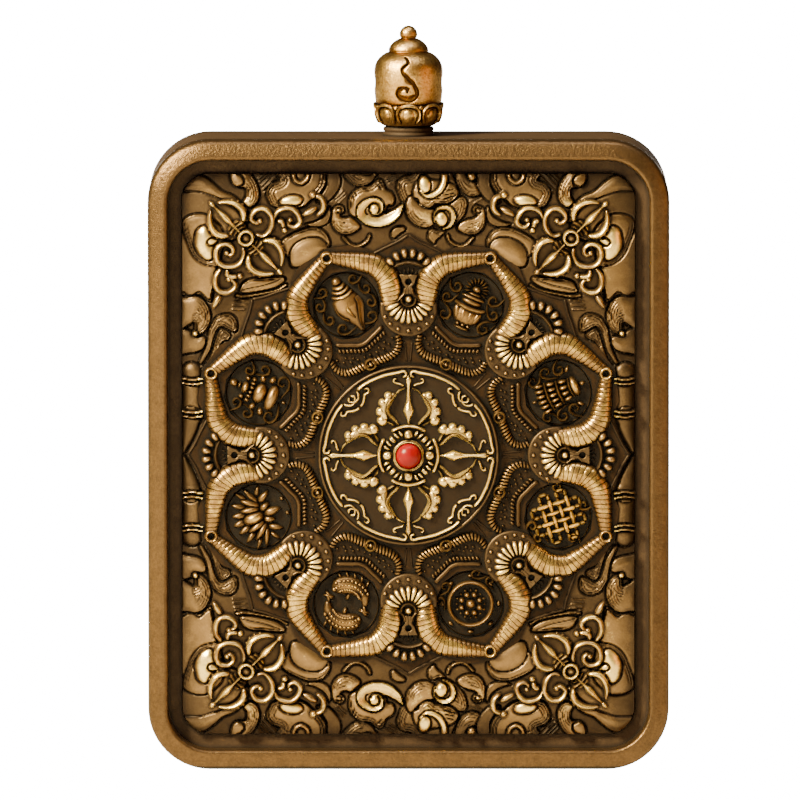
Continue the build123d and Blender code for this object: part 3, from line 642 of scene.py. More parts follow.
def lay_knob(level, spots, centre, long, wide, turn, base, rise):
    """A smooth oval knob."""
    c, s = polar(1, turn)
    away = spots - np.array(centre)
    share = np.hypot((away[:, 0] * c + away[:, 1] * s) / long, (away[:, 1] * c - away[:, 0] * s) / wide)
    up = base + rise * np.sqrt(np.clip(1 - share**2, 0, 1))
    shadow = shade(level, (share - 1) * min(long, wide), ROLL_SHADE)
    level[:] = np.where(share < 1, np.maximum(up, level), shadow)


def lay_hair(level, spots, points, half, depth):
    """A hair line: engraved where the depth is positive, raised where it is negative."""
    line = even_line(points, 24)
    rows = close_to(spots, line, 3 * half)
    gap = from_line(spots[rows], line)[0]
    level[rows] -= depth * ridge(gap, half)


# %% [markdown]
# The clouds are drawn from the back to the front. A pad is its outline, its top, how much it swells,
# how wide its rounded edge is, how many combed lines it has and which way they face. A roll is its
# line, half widths, rise and base. A knob is its centre, half length, half width, turn, base and rise,
# and a hair line is its points, half width and depth. The corners are alike on both sides, and the
# middle band isn't.

# %% The drawn clouds
BAND_PADS = [
    ([(-6.72, 28.64), (-6.45, 27.92), (-5.97, 27.36), (-5.25, 26.85), (-4.62, 26.76), (-3.82, 27.12),
      (-3.34, 27.68), (-3.15, 28.64)], 1.4, 0.4, 0.6, 4, 240),
    ([(-7.72, 23.86), (-7.61, 24.42), (-7.25, 24.85), (-6.77, 24.94), (-6.40, 24.66), (-6.50, 24.21),
      (-6.82, 24.05), (-6.69, 23.78), (-6.21, 23.70), (-5.73, 23.78), (-5.25, 23.38), (-4.78, 22.90),
      (-5.02, 22.51), (-5.73, 22.11), (-6.53, 22.03), (-7.25, 22.43), (-7.61, 23.06)], 1.45, 0.42, 0.6, 3,
      250),
    ([(-5.97, 24.66), (-5.92, 25.53), (-5.54, 26.25), (-4.78, 26.76), (-3.82, 26.92), (-3.11, 27.52),
      (-2.55, 27.36), (-2.20, 26.57), (-1.59, 26.17), (-1.35, 25.53), (-1.59, 24.97), (-2.07, 24.94),
      (-2.23, 24.50), (-2.87, 23.86), (-4.14, 23.54), (-5.25, 23.70), (-5.81, 24.10)], 1.42, 0.4, 0.6, 2,
      130),
    ([(-5.13, 24.18), (-4.97, 24.81), (-4.30, 25.48), (-3.42, 25.72), (-2.79, 25.48), (-2.50, 24.94),
      (-2.63, 24.34), (-2.23, 24.26), (-1.27, 24.66), (-0.51, 25.13), (-0.76, 24.34), (-1.59, 23.54),
      (-2.87, 23.03), (-3.98, 22.98), (-4.78, 23.35)], 1.35, 0.3, 0.4, 0, None),
    ([(-1.19, 26.65), (-1.04, 27.36), (-0.48, 27.81), (0.32, 28.00), (0.96, 28.64), (4.14, 28.64),
      (4.46, 27.84), (4.94, 26.73), (5.02, 25.93), (4.46, 25.29), (3.50, 25.05), (2.63, 24.97),
      (2.07, 24.66), (1.43, 24.97), (0.96, 25.29), (0.32, 25.13), (-0.32, 25.05), (-0.80, 25.61)], 1.32,
      0.36, 0.6, 3, 175),
    ([(-0.32, 24.97), (-0.24, 24.18), (0.08, 23.54), (0.80, 22.90), (1.75, 22.71), (2.55, 23.06),
      (2.68, 23.86), (2.55, 24.50), (2.07, 24.62), (1.43, 24.94), (0.80, 25.37), (0.48, 25.93),
      (0.00, 25.77), (-0.24, 25.29)], 1.42, 0.42, 0.6, 3, 235),
    ([(3.90, 24.97), (5.10, 25.77), (5.73, 25.61), (5.83, 24.97), (5.57, 24.02), (4.94, 23.22),
      (4.14, 22.74), (3.50, 22.55), (2.79, 22.98), (2.68, 23.86), (3.03, 24.58)], 1.35, 0.38, 0.6, 5, -15),
    ([(0.40, 26.33), (0.48, 25.77), (0.96, 25.53), (1.11, 25.13), (1.75, 24.69), (2.39, 24.81),
      (2.71, 25.13), (3.50, 25.05), (4.30, 25.29), (4.81, 25.77), (4.97, 26.38), (4.46, 27.04),
      (3.50, 27.36), (1.91, 27.52), (0.80, 27.20)], 1.52, 0.42, 0.6, 2, 290),
    ([(4.62, 28.64), (4.70, 27.52), (5.10, 26.57), (5.89, 25.90), (6.85, 25.90), (7.56, 26.57),
      (7.93, 27.52), (7.01, 27.36), (6.53, 27.27), (6.05, 27.52), (5.73, 28.00), (5.57, 28.64)], 1.4, 0.38,
      0.6, 2, 240),
    ([(7.72, 23.70), (7.68, 24.34), (7.25, 24.81), (6.69, 24.88), (6.40, 24.50), (6.56, 24.15),
      (6.88, 23.99), (6.53, 23.67), (5.89, 23.54), (5.18, 23.22), (4.86, 22.67), (5.41, 22.19),
      (6.37, 22.00), (7.17, 22.35), (7.56, 22.98)], 1.45, 0.42, 0.6, 3, -70),
    ([(-1.78, 21.82), (-1.67, 22.43), (-1.19, 22.81), (-0.48, 22.81), (-0.29, 22.46), (-0.80, 22.11),
      (-1.43, 21.60)], 1.2, 0.3, 0.5, 0, None),
    ([(1.94, 21.63), (1.99, 22.30), (2.39, 22.62), (3.03, 22.38), (3.73, 22.38), (3.22, 21.85),
      (2.79, 21.44), (2.52, 21.03)], 1.2, 0.25, 0.4, 1, 90),
]
CORNER_PADS = [
    ([(22.93, 26.54), (21.55, 26.47), (19.87, 26.16), (18.65, 25.62), (17.42, 24.86), (16.50, 23.63),
      (16.20, 22.56), (17.42, 21.49), (19.26, 21.49), (20.79, 22.10), (21.86, 23.02), (22.93, 23.02)], 1.18,
      0.12, 0.4, 0, None),
    ([(22.66, 26.31), (22.32, 26.92), (21.71, 27.64), (21.02, 27.95), (20.25, 27.77), (19.41, 27.15),
      (18.49, 26.34), (17.57, 25.96), (16.89, 25.44), (16.27, 24.63), (15.89, 23.56), (16.20, 23.25),
      (16.96, 24.32), (17.88, 25.10), (18.80, 25.59), (19.72, 25.96), (20.64, 26.25), (21.55, 26.33)], 1.42,
      0.4, 0.8, 0, None),
    ([(17.73, 28.30), (17.27, 28.65), (16.66, 28.65), (15.89, 28.23), (15.28, 27.46), (14.93, 26.54),
      (14.90, 25.78), (15.20, 25.09), (15.74, 24.74), (16.20, 24.86), (16.50, 25.24), (16.20, 25.78),
      (16.15, 26.39), (16.43, 26.73), (17.11, 26.77), (17.57, 27.15), (17.76, 27.77)], 1.62, 0.5, 0.75, 3,
      180),
    ([(8.31, 28.53), (7.17, 28.53), (6.74, 27.61), (6.83, 26.77), (7.32, 26.01), (7.85, 25.44),
      (8.54, 25.16), (9.16, 25.32), (8.54, 26.24), (8.16, 27.15)], 1.15, 0.25, 0.5, 0, None),
    ([(13.90, 25.32), (14.18, 26.01), (14.05, 26.62), (13.67, 27.08), (13.06, 27.31), (12.80, 27.49),
      (13.10, 27.92), (12.91, 28.35), (12.22, 28.61), (8.54, 28.61), (8.21, 27.77), (8.27, 27.00),
      (8.70, 26.31), (9.23, 25.85), (9.61, 25.55), (10.38, 24.86), (11.60, 24.55), (12.83, 24.63),
      (13.59, 24.86)], 1.42, 0.38, 0.7, 3, 20),
    ([(10.30, 23.10), (9.31, 23.33), (8.39, 23.94), (7.93, 24.86), (7.69, 24.17), (7.99, 23.25),
      (8.85, 22.78), (9.77, 22.78)], 1.15, 0.2, 0.4, 0, None),
    ([(22.93, 19.65), (19.26, 19.65), (19.07, 18.43), (19.26, 17.20), (19.49, 16.13), (19.69, 15.29),
      (20.21, 15.49), (20.70, 15.92), (20.97, 16.04), (21.40, 15.77), (21.94, 15.64), (22.47, 15.92),
      (22.93, 16.06)], 1.25, 0.2, 0.4, 0, None),
    ([(22.93, 22.87), (22.01, 21.80), (19.26, 20.27), (19.10, 18.74), (19.38, 18.05), (19.26, 17.36),
      (19.56, 16.44), (19.79, 15.55), (20.25, 15.78), (20.67, 16.21), (20.97, 16.33), (21.40, 16.04),
      (21.94, 15.92), (22.47, 16.26), (22.93, 16.44)], 1.45, 0.25, 0.5, 0, None),
    ([(22.63, 23.17), (22.32, 23.63), (21.71, 23.97), (20.94, 24.12), (20.18, 24.02), (19.41, 23.48),
      (18.65, 22.71), (18.34, 21.49), (18.65, 20.27), (18.95, 18.89), (19.56, 18.86), (20.41, 19.07),
      (21.17, 19.58), (21.71, 20.34), (22.04, 21.18), (22.40, 22.10)], 1.42, 0.35, 0.7, 2, -35),
    ([(21.32, 21.80), (21.17, 22.41), (20.71, 22.87), (20.18, 22.94), (19.69, 22.56), (19.26, 21.87),
      (18.92, 21.49), (19.26, 20.88), (19.23, 20.27), (19.44, 19.65), (20.02, 19.41), (20.71, 19.78),
      (21.22, 20.50), (21.40, 21.18)], 1.85, 0.75, 1.1, 0, None),
    ([(22.93, 15.90), (22.17, 15.78), (21.55, 15.89), (20.87, 15.80), (20.25, 15.34), (19.84, 14.57),
      (19.72, 13.68), (19.93, 12.89), (20.36, 12.31), (20.94, 11.97), (21.32, 11.85), (21.55, 12.15),
      (21.32, 12.61), (21.40, 13.22), (22.01, 12.92), (22.93, 12.46)], 1.5, 0.45, 0.9, 5, 190),
    ([(22.93, 12.38), (22.32, 12.58), (21.71, 12.31), (21.17, 11.85), (20.56, 11.85), (20.21, 11.62),
      (20.24, 11.01), (20.60, 10.50), (21.25, 10.22), (22.01, 10.10), (22.93, 10.13)], 1.42, 0.42, 0.8, 0,
      None),
    ([(19.64, 13.07), (19.26, 13.68), (18.49, 14.07), (17.73, 14.07), (17.19, 13.61), (17.04, 12.84),
      (17.27, 12.23), (17.96, 12.46), (18.65, 12.84), (19.10, 12.46), (19.41, 11.69), (19.72, 10.47),
      (20.18, 9.70), (20.56, 9.09), (20.94, 9.09), (20.71, 9.70), (20.25, 10.78), (20.02, 11.85),
      (19.90, 12.61)], 1.22, 0.3, 0.5, 2, 120),
    ([(19.03, 12.23), (18.57, 12.64), (17.73, 12.12), (17.88, 11.54), (18.57, 11.23), (19.18, 10.01),
      (19.95, 9.24), (20.45, 8.86), (19.84, 9.70), (19.38, 11.08)], 1.12, 0.25, 0.4, 3, 120),
    ([(16.89, 16.52), (16.43, 17.28), (15.58, 17.63), (14.67, 17.69), (13.14, 17.82), (12.34, 17.74),
      (12.40, 17.28), (13.29, 16.71), (14.67, 16.35), (16.04, 16.16), (16.81, 16.26)], 1.32, 0.4, 0.6, 1,
      90),
    ([(12.91, 21.11), (12.22, 21.72), (11.30, 22.26), (10.23, 22.67), (9.16, 22.71), (8.36, 22.32),
      (7.84, 21.49), (7.90, 20.65), (8.54, 19.96), (10.07, 19.65), (11.60, 19.65), (12.52, 20.27)], 1.28,
      0.3, 0.45, 1, 90),
    ([(11.94, 19.65), (11.76, 20.50), (11.22, 21.18), (10.38, 21.64), (9.46, 21.80), (8.62, 21.61),
      (8.08, 21.00), (8.08, 20.42), (8.77, 19.88), (9.46, 19.42), (10.23, 18.96), (11.07, 18.70),
      (11.68, 18.89)], 1.36, 0.5, 1.1, 0, None),
]
BAND_ROLLS = [
    ([(-0.61, 24.97), (-1.27, 24.10), (-2.39, 23.46), (-3.66, 23.38), (-4.62, 23.86), (-4.70, 24.66),
      (-4.14, 25.21), (-3.34, 25.42), (-2.79, 25.05), (-2.87, 24.42), (-3.34, 24.21), (-3.66, 24.50)],
      [-0.12, -0.42, -0.55, -0.55, -0.5, -0.42, -0.38, -0.34, -0.3, -0.26, -0.2], 0.6, 1.25),
    ([(-6.45, 21.71), (-5.73, 20.99), (-4.94, 20.87), (-4.14, 21.34), (-3.85, 21.92)], [0.16], 0.3, 0.95),
    ([(6.45, 21.71), (5.73, 20.99), (4.94, 20.87), (4.14, 21.34), (3.90, 21.92)], [0.16], 0.3, 0.95),
    ([(1.19, 26.38), (1.91, 25.90), (2.87, 26.22), (3.42, 26.96), (3.60, 27.92), (3.42, 28.67)], [0.14,
      0.26, 0.3, 0.32, 0.3], 0.4, 1.45),
    ([(2.74, 23.38), (2.71, 24.02), (3.18, 24.62), (3.90, 24.69), (4.38, 24.26), (4.46, 23.62),
      (4.14, 22.98), (3.50, 22.67)], [-0.2, -0.24, -0.24, -0.22, -0.14], 0.5, 1.3),
]
CORNER_ROLLS = [
    ([(17.11, 15.95), (16.20, 15.86), (14.67, 16.10), (13.14, 16.44), (12.19, 16.97)], [0.15], 0.22, 1.0),
    ([(9.98, 28.10), (10.15, 27.54), (10.72, 27.18), (11.27, 27.46), (11.45, 28.00), (11.27, 28.41)],
      [0.22], 0.45, 1.3),
]
BAND_KNOBS = [
    ((1.62, 27.04), 0.6, 0.88, 8, 1.5, 0.4),
    ((3.26, 23.59), 0.6, 0.76, 10, 1.3, 0.6),
    ((-3.38, 24.62), 0.42, 0.5, 30, 1.4, 0.5),
    ((6.29, 27.87), 0.42, 0.5, 20, 1.3, 0.5),
    ((-4.43, 28.29), 0.75, 0.28, -12, 1.4, 0.3),
]
CORNER_KNOBS = [
    ((11.68, 25.39), 1.15, 0.62, -8, 1.25, 0.5),
    ((21.28, 12.12), 0.3, 0.28, 0, 1.4, 0.4),
]
BAND_HAIRS = [
    ([(-7.20, 24.62), (-6.82, 24.72), (-6.62, 24.43), (-6.85, 24.21), (-7.13, 24.27)], 0.08, 0.3),
    ([(7.26, 24.56), (6.88, 24.69), (6.66, 24.43), (6.88, 24.18), (7.20, 24.24)], 0.08, 0.3),
    ([(-2.87, 27.36), (-2.47, 26.85)], 0.06, 0.16),
    ([(-3.18, 27.17), (-2.68, 26.57)], 0.06, 0.16),
    ([(-5.41, 26.38), (-5.22, 25.93)], 0.06, 0.16),
    ([(-5.61, 26.09), (-5.41, 25.69)], 0.06, 0.16),
    ([(3.82, 26.41), (4.46, 26.57)], 0.06, 0.16),
    ([(3.66, 26.01), (4.62, 26.22)], 0.06, 0.16),
    ([(3.58, 25.61), (4.70, 25.93)], 0.06, 0.16),
    ([(-7.48, 25.45), (-6.53, 26.38)], 0.06, -0.16),
    ([(-7.25, 25.29), (-6.29, 26.17)], 0.06, -0.16),
    ([(-7.01, 25.13), (-6.18, 25.90)], 0.06, -0.16),
    ([(-2.23, 27.52), (-1.43, 28.00)], 0.06, -0.16),
    ([(-2.07, 27.28), (-1.19, 27.81)], 0.06, -0.16),
    ([(-1.91, 27.04), (-1.08, 27.55)], 0.06, -0.16),
    ([(6.05, 25.29), (7.01, 25.77)], 0.06, -0.16),
    ([(6.53, 25.13), (7.32, 25.61)], 0.06, -0.16),
]
CORNER_HAIRS = [
    ([(17.04, 28.10), (16.66, 27.92), (16.38, 27.46), (16.50, 27.00), (16.89, 26.82)], 0.09, 0.35),
    ([(18.98, 21.70), (19.72, 21.70), (20.08, 21.34), (19.84, 20.94), (19.26, 20.94)], 0.09, 0.3),
    ([(13.29, 28.30), (14.67, 26.85)], 0.07, -0.2),
    ([(13.75, 28.30), (14.82, 27.18)], 0.07, -0.2),
    ([(14.21, 28.30), (14.94, 27.54)], 0.07, -0.2),
    ([(13.06, 27.92), (14.48, 26.47)], 0.07, -0.2),
    ([(13.59, 27.00), (14.36, 26.16)], 0.07, -0.2),
    ([(17.27, 15.67), (16.20, 15.90)], 0.07, -0.2),
    ([(17.42, 15.29), (16.12, 15.44)], 0.07, -0.2),
    ([(17.50, 14.91), (16.20, 14.98)], 0.07, -0.2),
    ([(17.57, 14.53), (16.35, 14.53)], 0.07, -0.2),
    ([(8.51, 28.30), (8.48, 27.61), (8.67, 26.92), (9.08, 26.31)], 0.07, 0.16),
    ([(8.77, 28.23), (8.76, 27.61), (8.93, 27.00), (9.31, 26.47)], 0.07, 0.16),
    ([(16.66, 16.44), (15.74, 16.67), (14.36, 16.97), (12.83, 17.51)], 0.07, 0.16),
]
SIDE_ROLLS = [
    ([(21.65, 8.2), (21.6, 5.8), (21.7, 3.6)], [1.05, 1.0, 1.0, 1.02], 0.55, 0.82),
    ([(21.75, 3.8), (21.9, 2.4), (22.4, 0.4)], [1.0, 0.85, 0.6, 0.25], 0.5, 0.82),
    ([(22.75, 7.67), (21.6, 7.5), (20.55, 7.65)], [0.12], 0.2, 1.5),
    ([(22.75, 7.22), (21.6, 7.05), (20.55, 7.2)], [0.12], 0.2, 1.5),
    ([(22.75, 4.37), (21.6, 4.2), (20.55, 4.35)], [0.12], 0.2, 1.5),
    ([(22.75, 3.92), (21.6, 3.75), (20.55, 3.9)], [0.12], 0.2, 1.5),
]
print(len(BAND_PADS + CORNER_PADS), "pads and", len(BAND_HAIRS + CORNER_HAIRS), "hair lines")

# %% [markdown]
# One grid covers the upper half of the panel, and its mirror image the lower half. What the mandala
# plate hides is deleted first, and the ground under each well is sunk. At last the edge is rounded off,
# drawn down below the trench floor and closed.

# %% The carved panel
PITCH, GROUND, CORNER_R, PLATE_R = 0.105, 0.95, 2.85, 17.3
WELL, WELL_CLEAR, SUNK, LOBE_STEP = 16.2, 3.8, 0.5, 45
EDGE_FALL, EDGE_REACH, EDGE_TOP, EDGE_ROUND = 0.5, 4.0, 1.9, 0.5
EDGE_FOOT, SKIRT = -0.08, -0.15
bm = bmesh.new()
half_up = PANEL_HALF[1] / 2
upper = Matrix.Translation((0, half_up, 0)) @ Matrix.Diagonal((PANEL_HALF[0], half_up, 1, 1))
columns, lanes = int(2 * PANEL_HALF[0] / PITCH), int(PANEL_HALF[1] / PITCH)
bmesh.ops.create_grid(bm, x_segments=columns, y_segments=lanes, size=1.0, matrix=upper)
bmesh.ops.delete(bm, geom=[v for v in bm.verts if v.co.length < PLATE_R], context="VERTS")
spots = np.array([v.co[:2] for v in bm.verts])
folded = np.abs(spots)
level = np.full(len(spots), GROUND)
for where, pads, rolls, knobs, hairs in (
    (spots, BAND_PADS, BAND_ROLLS, BAND_KNOBS, BAND_HAIRS),
    (folded, CORNER_PADS, CORNER_ROLLS + SIDE_ROLLS, CORNER_KNOBS, CORNER_HAIRS),
):
    for pad in pads:
        lay_pad(level, where, *pad)
    for line, width, rise, base in rolls:
        lay_roll(level, where, line, width, rise, base, SHELL if width[0] < 0 else ROUND)
    for knob in knobs:
        lay_knob(level, where, *knob)
    for hair in hairs:
        lay_hair(level, where, *hair)
for turn in (LOBE_STEP / 2, LOBE_STEP * 3 / 2):
    level[np.linalg.norm(folded - polar(WELL, turn), axis=1) < WELL_CLEAR] = SUNK
past = folded - (np.array(PANEL_HALF) - CORNER_R)
inset = CORNER_R - np.linalg.norm(np.maximum(past, 0), axis=1) - np.minimum(past.max(1), 0)
level -= EDGE_FALL * (1 - np.clip(inset / EDGE_REACH, 0, 1)) ** 2
level = np.minimum(level, EDGE_TOP * np.sqrt(1 - (1 - np.clip(inset / EDGE_ROUND, 0, 1)) ** 2))
level[inset < 0.01] = EDGE_FOOT
for vert, height in zip(bm.verts, level):
    vert.co.z = height
border = [edge for edge in bm.edges if edge.is_boundary]
grown = bmesh.ops.extrude_edge_only(bm, edges=border)["geom"]
for vert in verts_of(grown):
    vert.co.z = SKIRT
bmesh.ops.contextual_create(bm, geom=[edge for edge in edges_of(grown) if edge.is_boundary])
place(bm, "carved_panel_top", "case", "relief_brass", cloud_brass, "relief_panel")
turned_over = RELIEF @ Matrix.Diagonal((1, -1, 1, 1))
place(bm, "carved_panel_bottom", "case", "relief_brass", cloud_brass, frame_at=turned_over)
print("half a panel", len(bm.faces), "faces, up to", round(level.max(), 2), "mm high")
bm.free()

# %% [markdown]
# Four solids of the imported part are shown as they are: the case, the back cover, the swivel pin and the
# plate under the mandala. They only need a finish. The cover is handled most, so it is as bright as the
# rim.

# %% Finishes for the solids that are shown
SHOWN = {
    "case_body": dark_brass, "swivel_pin": dark_brass,
    "mandala_plate": ground_brass, "back_cover": rim_brass,
}
for node, finish in SHOWN.items():
    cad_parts[node].data.materials[0] = finish
print("finished as they are:", list(SHOWN))

# %% [markdown]
# Each lobe of the mandala is a pair of ribbed horns that meet in a pierced eyelet. A horn swells
# towards its root, where the fan holds it. A row of rings could make the ribs, but one sweep with a
# shallow groove at each rib leaves no gaps. One lobe is drawn, and the other seven are turned copies.

# %% The horned lobes
HORN_HALF = [0.7, 0.85, 1.05, 1.22, 1.3, 1.25, 1.0]
HORN_RISE = [0.75, 0.85, 1.0, 1.12, 1.2, 1.15, 0.95]
HORN = [(19.7, 7.7), (19.54, 6.5), (19.3, 4.75), (18.9, 3.25), (17.8, 2.15), (16.3, 1.75), (15.0, 1.75)]
bm = bmesh.new()
for line, lean in ((HORN, 8), (mirrored(HORN, LOBE_STEP / 2), -8)):
    sweep(bm, line, HORN_HALF, HORN_RISE, [1.1], ROUND, ribs=19, slant=lean)
ring(bm, *polar(21.3, LOBE_STEP / 2), 1.1, 0.5, 0.26, 0.85, 24, ROUND)
for k in range(8):
    place(bm, f"horn_lobe_{k + 1}", "case", "relief_brass", horn_brass, f"lobe_{k + 1}", turn=LOBE_STEP * k)
print("one lobe", len(bm.faces), "faces")
bm.free()

# %% [markdown]
# A fan closes each gap between two lobes: a beaded half disc, nine petals round a hub, a pierced neck,
# and a crown of six fat beads in front of a star point. The petals could be sculpted, but at this size
# a ball made slim at one end looks the same.

# %% The fans, necks and crowns
FAN, FAN_R, HUB = 14.7, 2.86, 15.6
bm = bmesh.new()
half_disc = [polar(FAN_R, a) for a in np.linspace(78, 282, 36)]
slab(bm, [(FAN + u, v) for u, v in half_disc], 1.0, 1.75, 0.24, cuts=4)
for turn, reach in ((0, 2.24), (27, 2.3), (50, 2.4), (70, 2.5), (-27, 2.3), (-50, 2.4), (-70, 2.5)):
    u, v = polar(reach, 180 + turn)
    dome(bm, FAN + u, v, 1.72, (0.24, 0.24, 0.42), cuts=(12, 8))
for turn in np.linspace(-66, 66, 9):
    u, v = polar(1.72, 180 + turn)
    dome(bm, HUB + u, v, 1.72, (0.33, 0.9, 0.66), 90 + turn, taper=0.45)
dome(bm, HUB, 0, 1.7, (0.38, 0.38, 0.6))
ring(bm, HUB, 0, 1.62, 0.72, 0.16, 0.5, 18, SLIM, arc=190, start=85)
for side in (1, -1):
    shoulder = [(15.2, 1.2), (15.7, 0.85), (16.2, 0.42), (16.8, 0.3)]
    wire(bm, [(u, v * side) for u, v in shoulder], 0.2, 1.6, rise=1.6)
    neck = [(16.1, 0), (16.1, 0.34), (16.9, 0.34), (17.2, 0.62), (17.6, 0.72), (18.05, 0.92), (18.05, 0)]
    neck += [(17.35 + u, v) for u, v in (polar(0.33, a) for a in np.linspace(0, 180, 9))]
    slab(bm, [(u, v * side) for u, v in neck], 1.0, 1.85, 0.06, cuts=2)
    wire(bm, [(20.1, 3.5 * side), (20.75, 2.25 * side), (21.3, 1.1 * side), (22.0, 0)], 0.14, 1.2)
    wire(bm, [(18.1, 0.95 * side), (18.5, 1.2 * side), (18.8, 1.5 * side)], 0.1, 1.3)
for turn in (-40, -20, 0, 20, 40):
    u, v = polar(1.15, turn)
    dome(bm, 17.3 + u, v, 1.2, (0.09, 0.32, 0.3), turn - 90, cuts=(8, 6))
brow = [(18.8, -1.6), (19.13, -0.85), (19.27, 0), (19.13, 0.85), (18.8, 1.6)]
sweep(bm, brow, [0.23], [0.42], [1.45], SLIM, 14)
for turn in np.linspace(-52, 52, 6):
    u, v = polar(2.3, turn)
    dome(bm, 17.9 + u, v, 1.5, (0.4, 0.56, 0.68), turn - 90, (14, 10), taper=0.2)
for k in range(8):
    place(bm, f"fan_{k + 1}", "case", "relief_brass", fan_brass, f"palmette_{k + 1}", turn=LOBE_STEP * k)
print("one fan", len(bm.faces), "faces")
bm.free()

# %% [markdown]
# Between the fans and the medallion run three borders: a thick twisted rope, a milled line of beads and
# a plain wire. All three bow towards the centre. Small dots fill the dark ground. Twisted strands would
# take many faces, and a deep groove at every rib with a slant along the line turns a plain sweep into a
# rope.

# %% The rope borders
def ray(points, turn=LOBE_STEP / 2):
    """Points given as radius and degrees off a ray from the centre."""
    return [polar(radius, turn + off) for radius, off in points]


bm = bmesh.new()
rope = ray([
    (12.1, -17.2), (11.2, -17.6), (10.4, -15.4), (10.02, -11), (9.9, -5), (9.85, 0), (9.9, 5), (10.02, 11),
    (10.4, 15.4), (11.2, 17.6), (12.1, 17.2),
])
ROPE_HALF = [0.4, 0.5, 0.56, 0.56, 0.56, 0.5, 0.4]
ROPE_RISE = [0.55, 0.68, 0.78, 0.78, 0.78, 0.68, 0.55]
sweep(bm, rope, ROPE_HALF, ROPE_RISE, [1.15], arch(6), ribs=27, groove=0.42, cut=0.26, slant=14)
eye = polar(9.8, LOBE_STEP / 2)
ring(bm, *eye, 1.5, 0.5, 0.17, 0.55, 20)
dome(bm, *eye, 1.5, (0.3, 0.3, 0.5), cuts=(12, 8))
plain = ray([
    (13.2, -11.2), (12.75, -8.6), (12.35, -5.2), (12.0, -1.8), (12.0, 1.8), (12.35, 5.2), (12.75, 8.6),
    (13.2, 11.2),
])
wire(bm, plain, 0.27, 1.15, 26, arch(6), 1.5)
beads = ray([
    (12.5, -11.6), (12.1, -8.6), (11.75, -5.4), (11.4, -1.8), (11.4, 1.8), (11.75, 5.4), (12.1, 8.6),
    (12.5, 11.6),
])
fine, run = track(beads)
for along in np.linspace(0.15, run[-1] - 0.15, 14):
    u, v = (np.interp(along, run, fine[:, k]) for k in (0, 1))
    dome(bm, u, v, 1.2, (0.32, 0.21, 0.48), math.degrees(math.atan2(v, u)), cuts=(10, 6))
wire(bm, [(u * 1.012, v * 1.012) for u, v in beads], 0.1, 1.2, 24)
for radius, off in (
    (11.8, 14.6), (11.25, 12.4), (10.9, 9.3), (10.75, 5.4), (10.7, 1.6), (11.5, 10.5), (11.1, 7.2),
):
    for side in (1, -1):
        dome(bm, *polar(radius, LOBE_STEP / 2 + off * side), 1.2, (0.17, 0.17, 0.32), cuts=(8, 6))
for side in (1, -1):
    wire(bm, ray([(9.35, 21.4 * side), (10.3, 21.0 * side), (11.3, 20.6 * side)]), 0.1, 1.2, 8)
for k in range(8):
    place(bm, f"rope_border_{k + 1}", "case", "relief_brass", rope_brass, turn=LOBE_STEP * k)
print("one border", len(bm.faces), "faces")
bm.free()

# %% [markdown]
# The medallion is a dark disc with a rounded rim. A wire follows the rim and knots itself at the four
# corners, so its line is drawn in eight like parts. Each part is four short wires, given as radius and
# degrees.

# %% The medallion with its wire knots
DISC = 1.9
bm = bmesh.new()
slab(bm, [polar(9.05, a) for a in np.linspace(0, 360, 96, endpoint=False)], 1.1, DISC, 0.12, cuts=2)
ring(bm, 0, 0, DISC - 0.1, 8.85, 0.19, 0.32, 96, ROUND)
KNOT_WIRES = [
    (
        [
            (8.32, 45 - 6.5), (8.38, 30), (8.38, 18), (8.38, 6.5), (8.46, 4.0), (8.36, 2.0), (8.06, 1.7),
            (7.9, 3.2), (8.08, 4.2),
        ],
        0.2, 34, 2.6,
    ),
    ([(8.32, 38.5), (7.95, 39.2), (7.6, 41.6), (7.62, 45.4), (8.0, 47.6), (8.34, 45.4)], 0.17, 16, 2.8),
    (
        [
            (6.85, 45), (6.92, 41.2), (7.22, 37.8), (7.5, 35.6), (7.5, 32.6), (7.75, 31.0), (7.98, 32.6),
            (7.8, 34.0),
        ],
        0.17, 18, 2.8,
    ),
    ([(6.95, 3.5), (7.2, 6.5), (7.35, 9.5), (7.6, 11.4), (7.8, 10.0), (7.62, 8.8)], 0.15, 14, 3.0),
]
for k in range(4):
    for side in (1, -1):
        for line, half, steps, rise in KNOT_WIRES:
            wire(bm, ray([(r, a * side) for r, a in line], 90 * k), half, DISC, steps, arch(6), rise)
place(bm, "medallion_disc", "case", "relief_brass", disc_brass, "medallion")
print("medallion", len(bm.faces), "faces")
bm.free()

# %% [markdown]
# The crossed vajra has four equal arms, so a drawing of one is turned. Each arm has a slim prong down
# its middle and a pair of leaves with lobed backs, and small petals ring the seat. A bezel holds the
# coral in the middle.

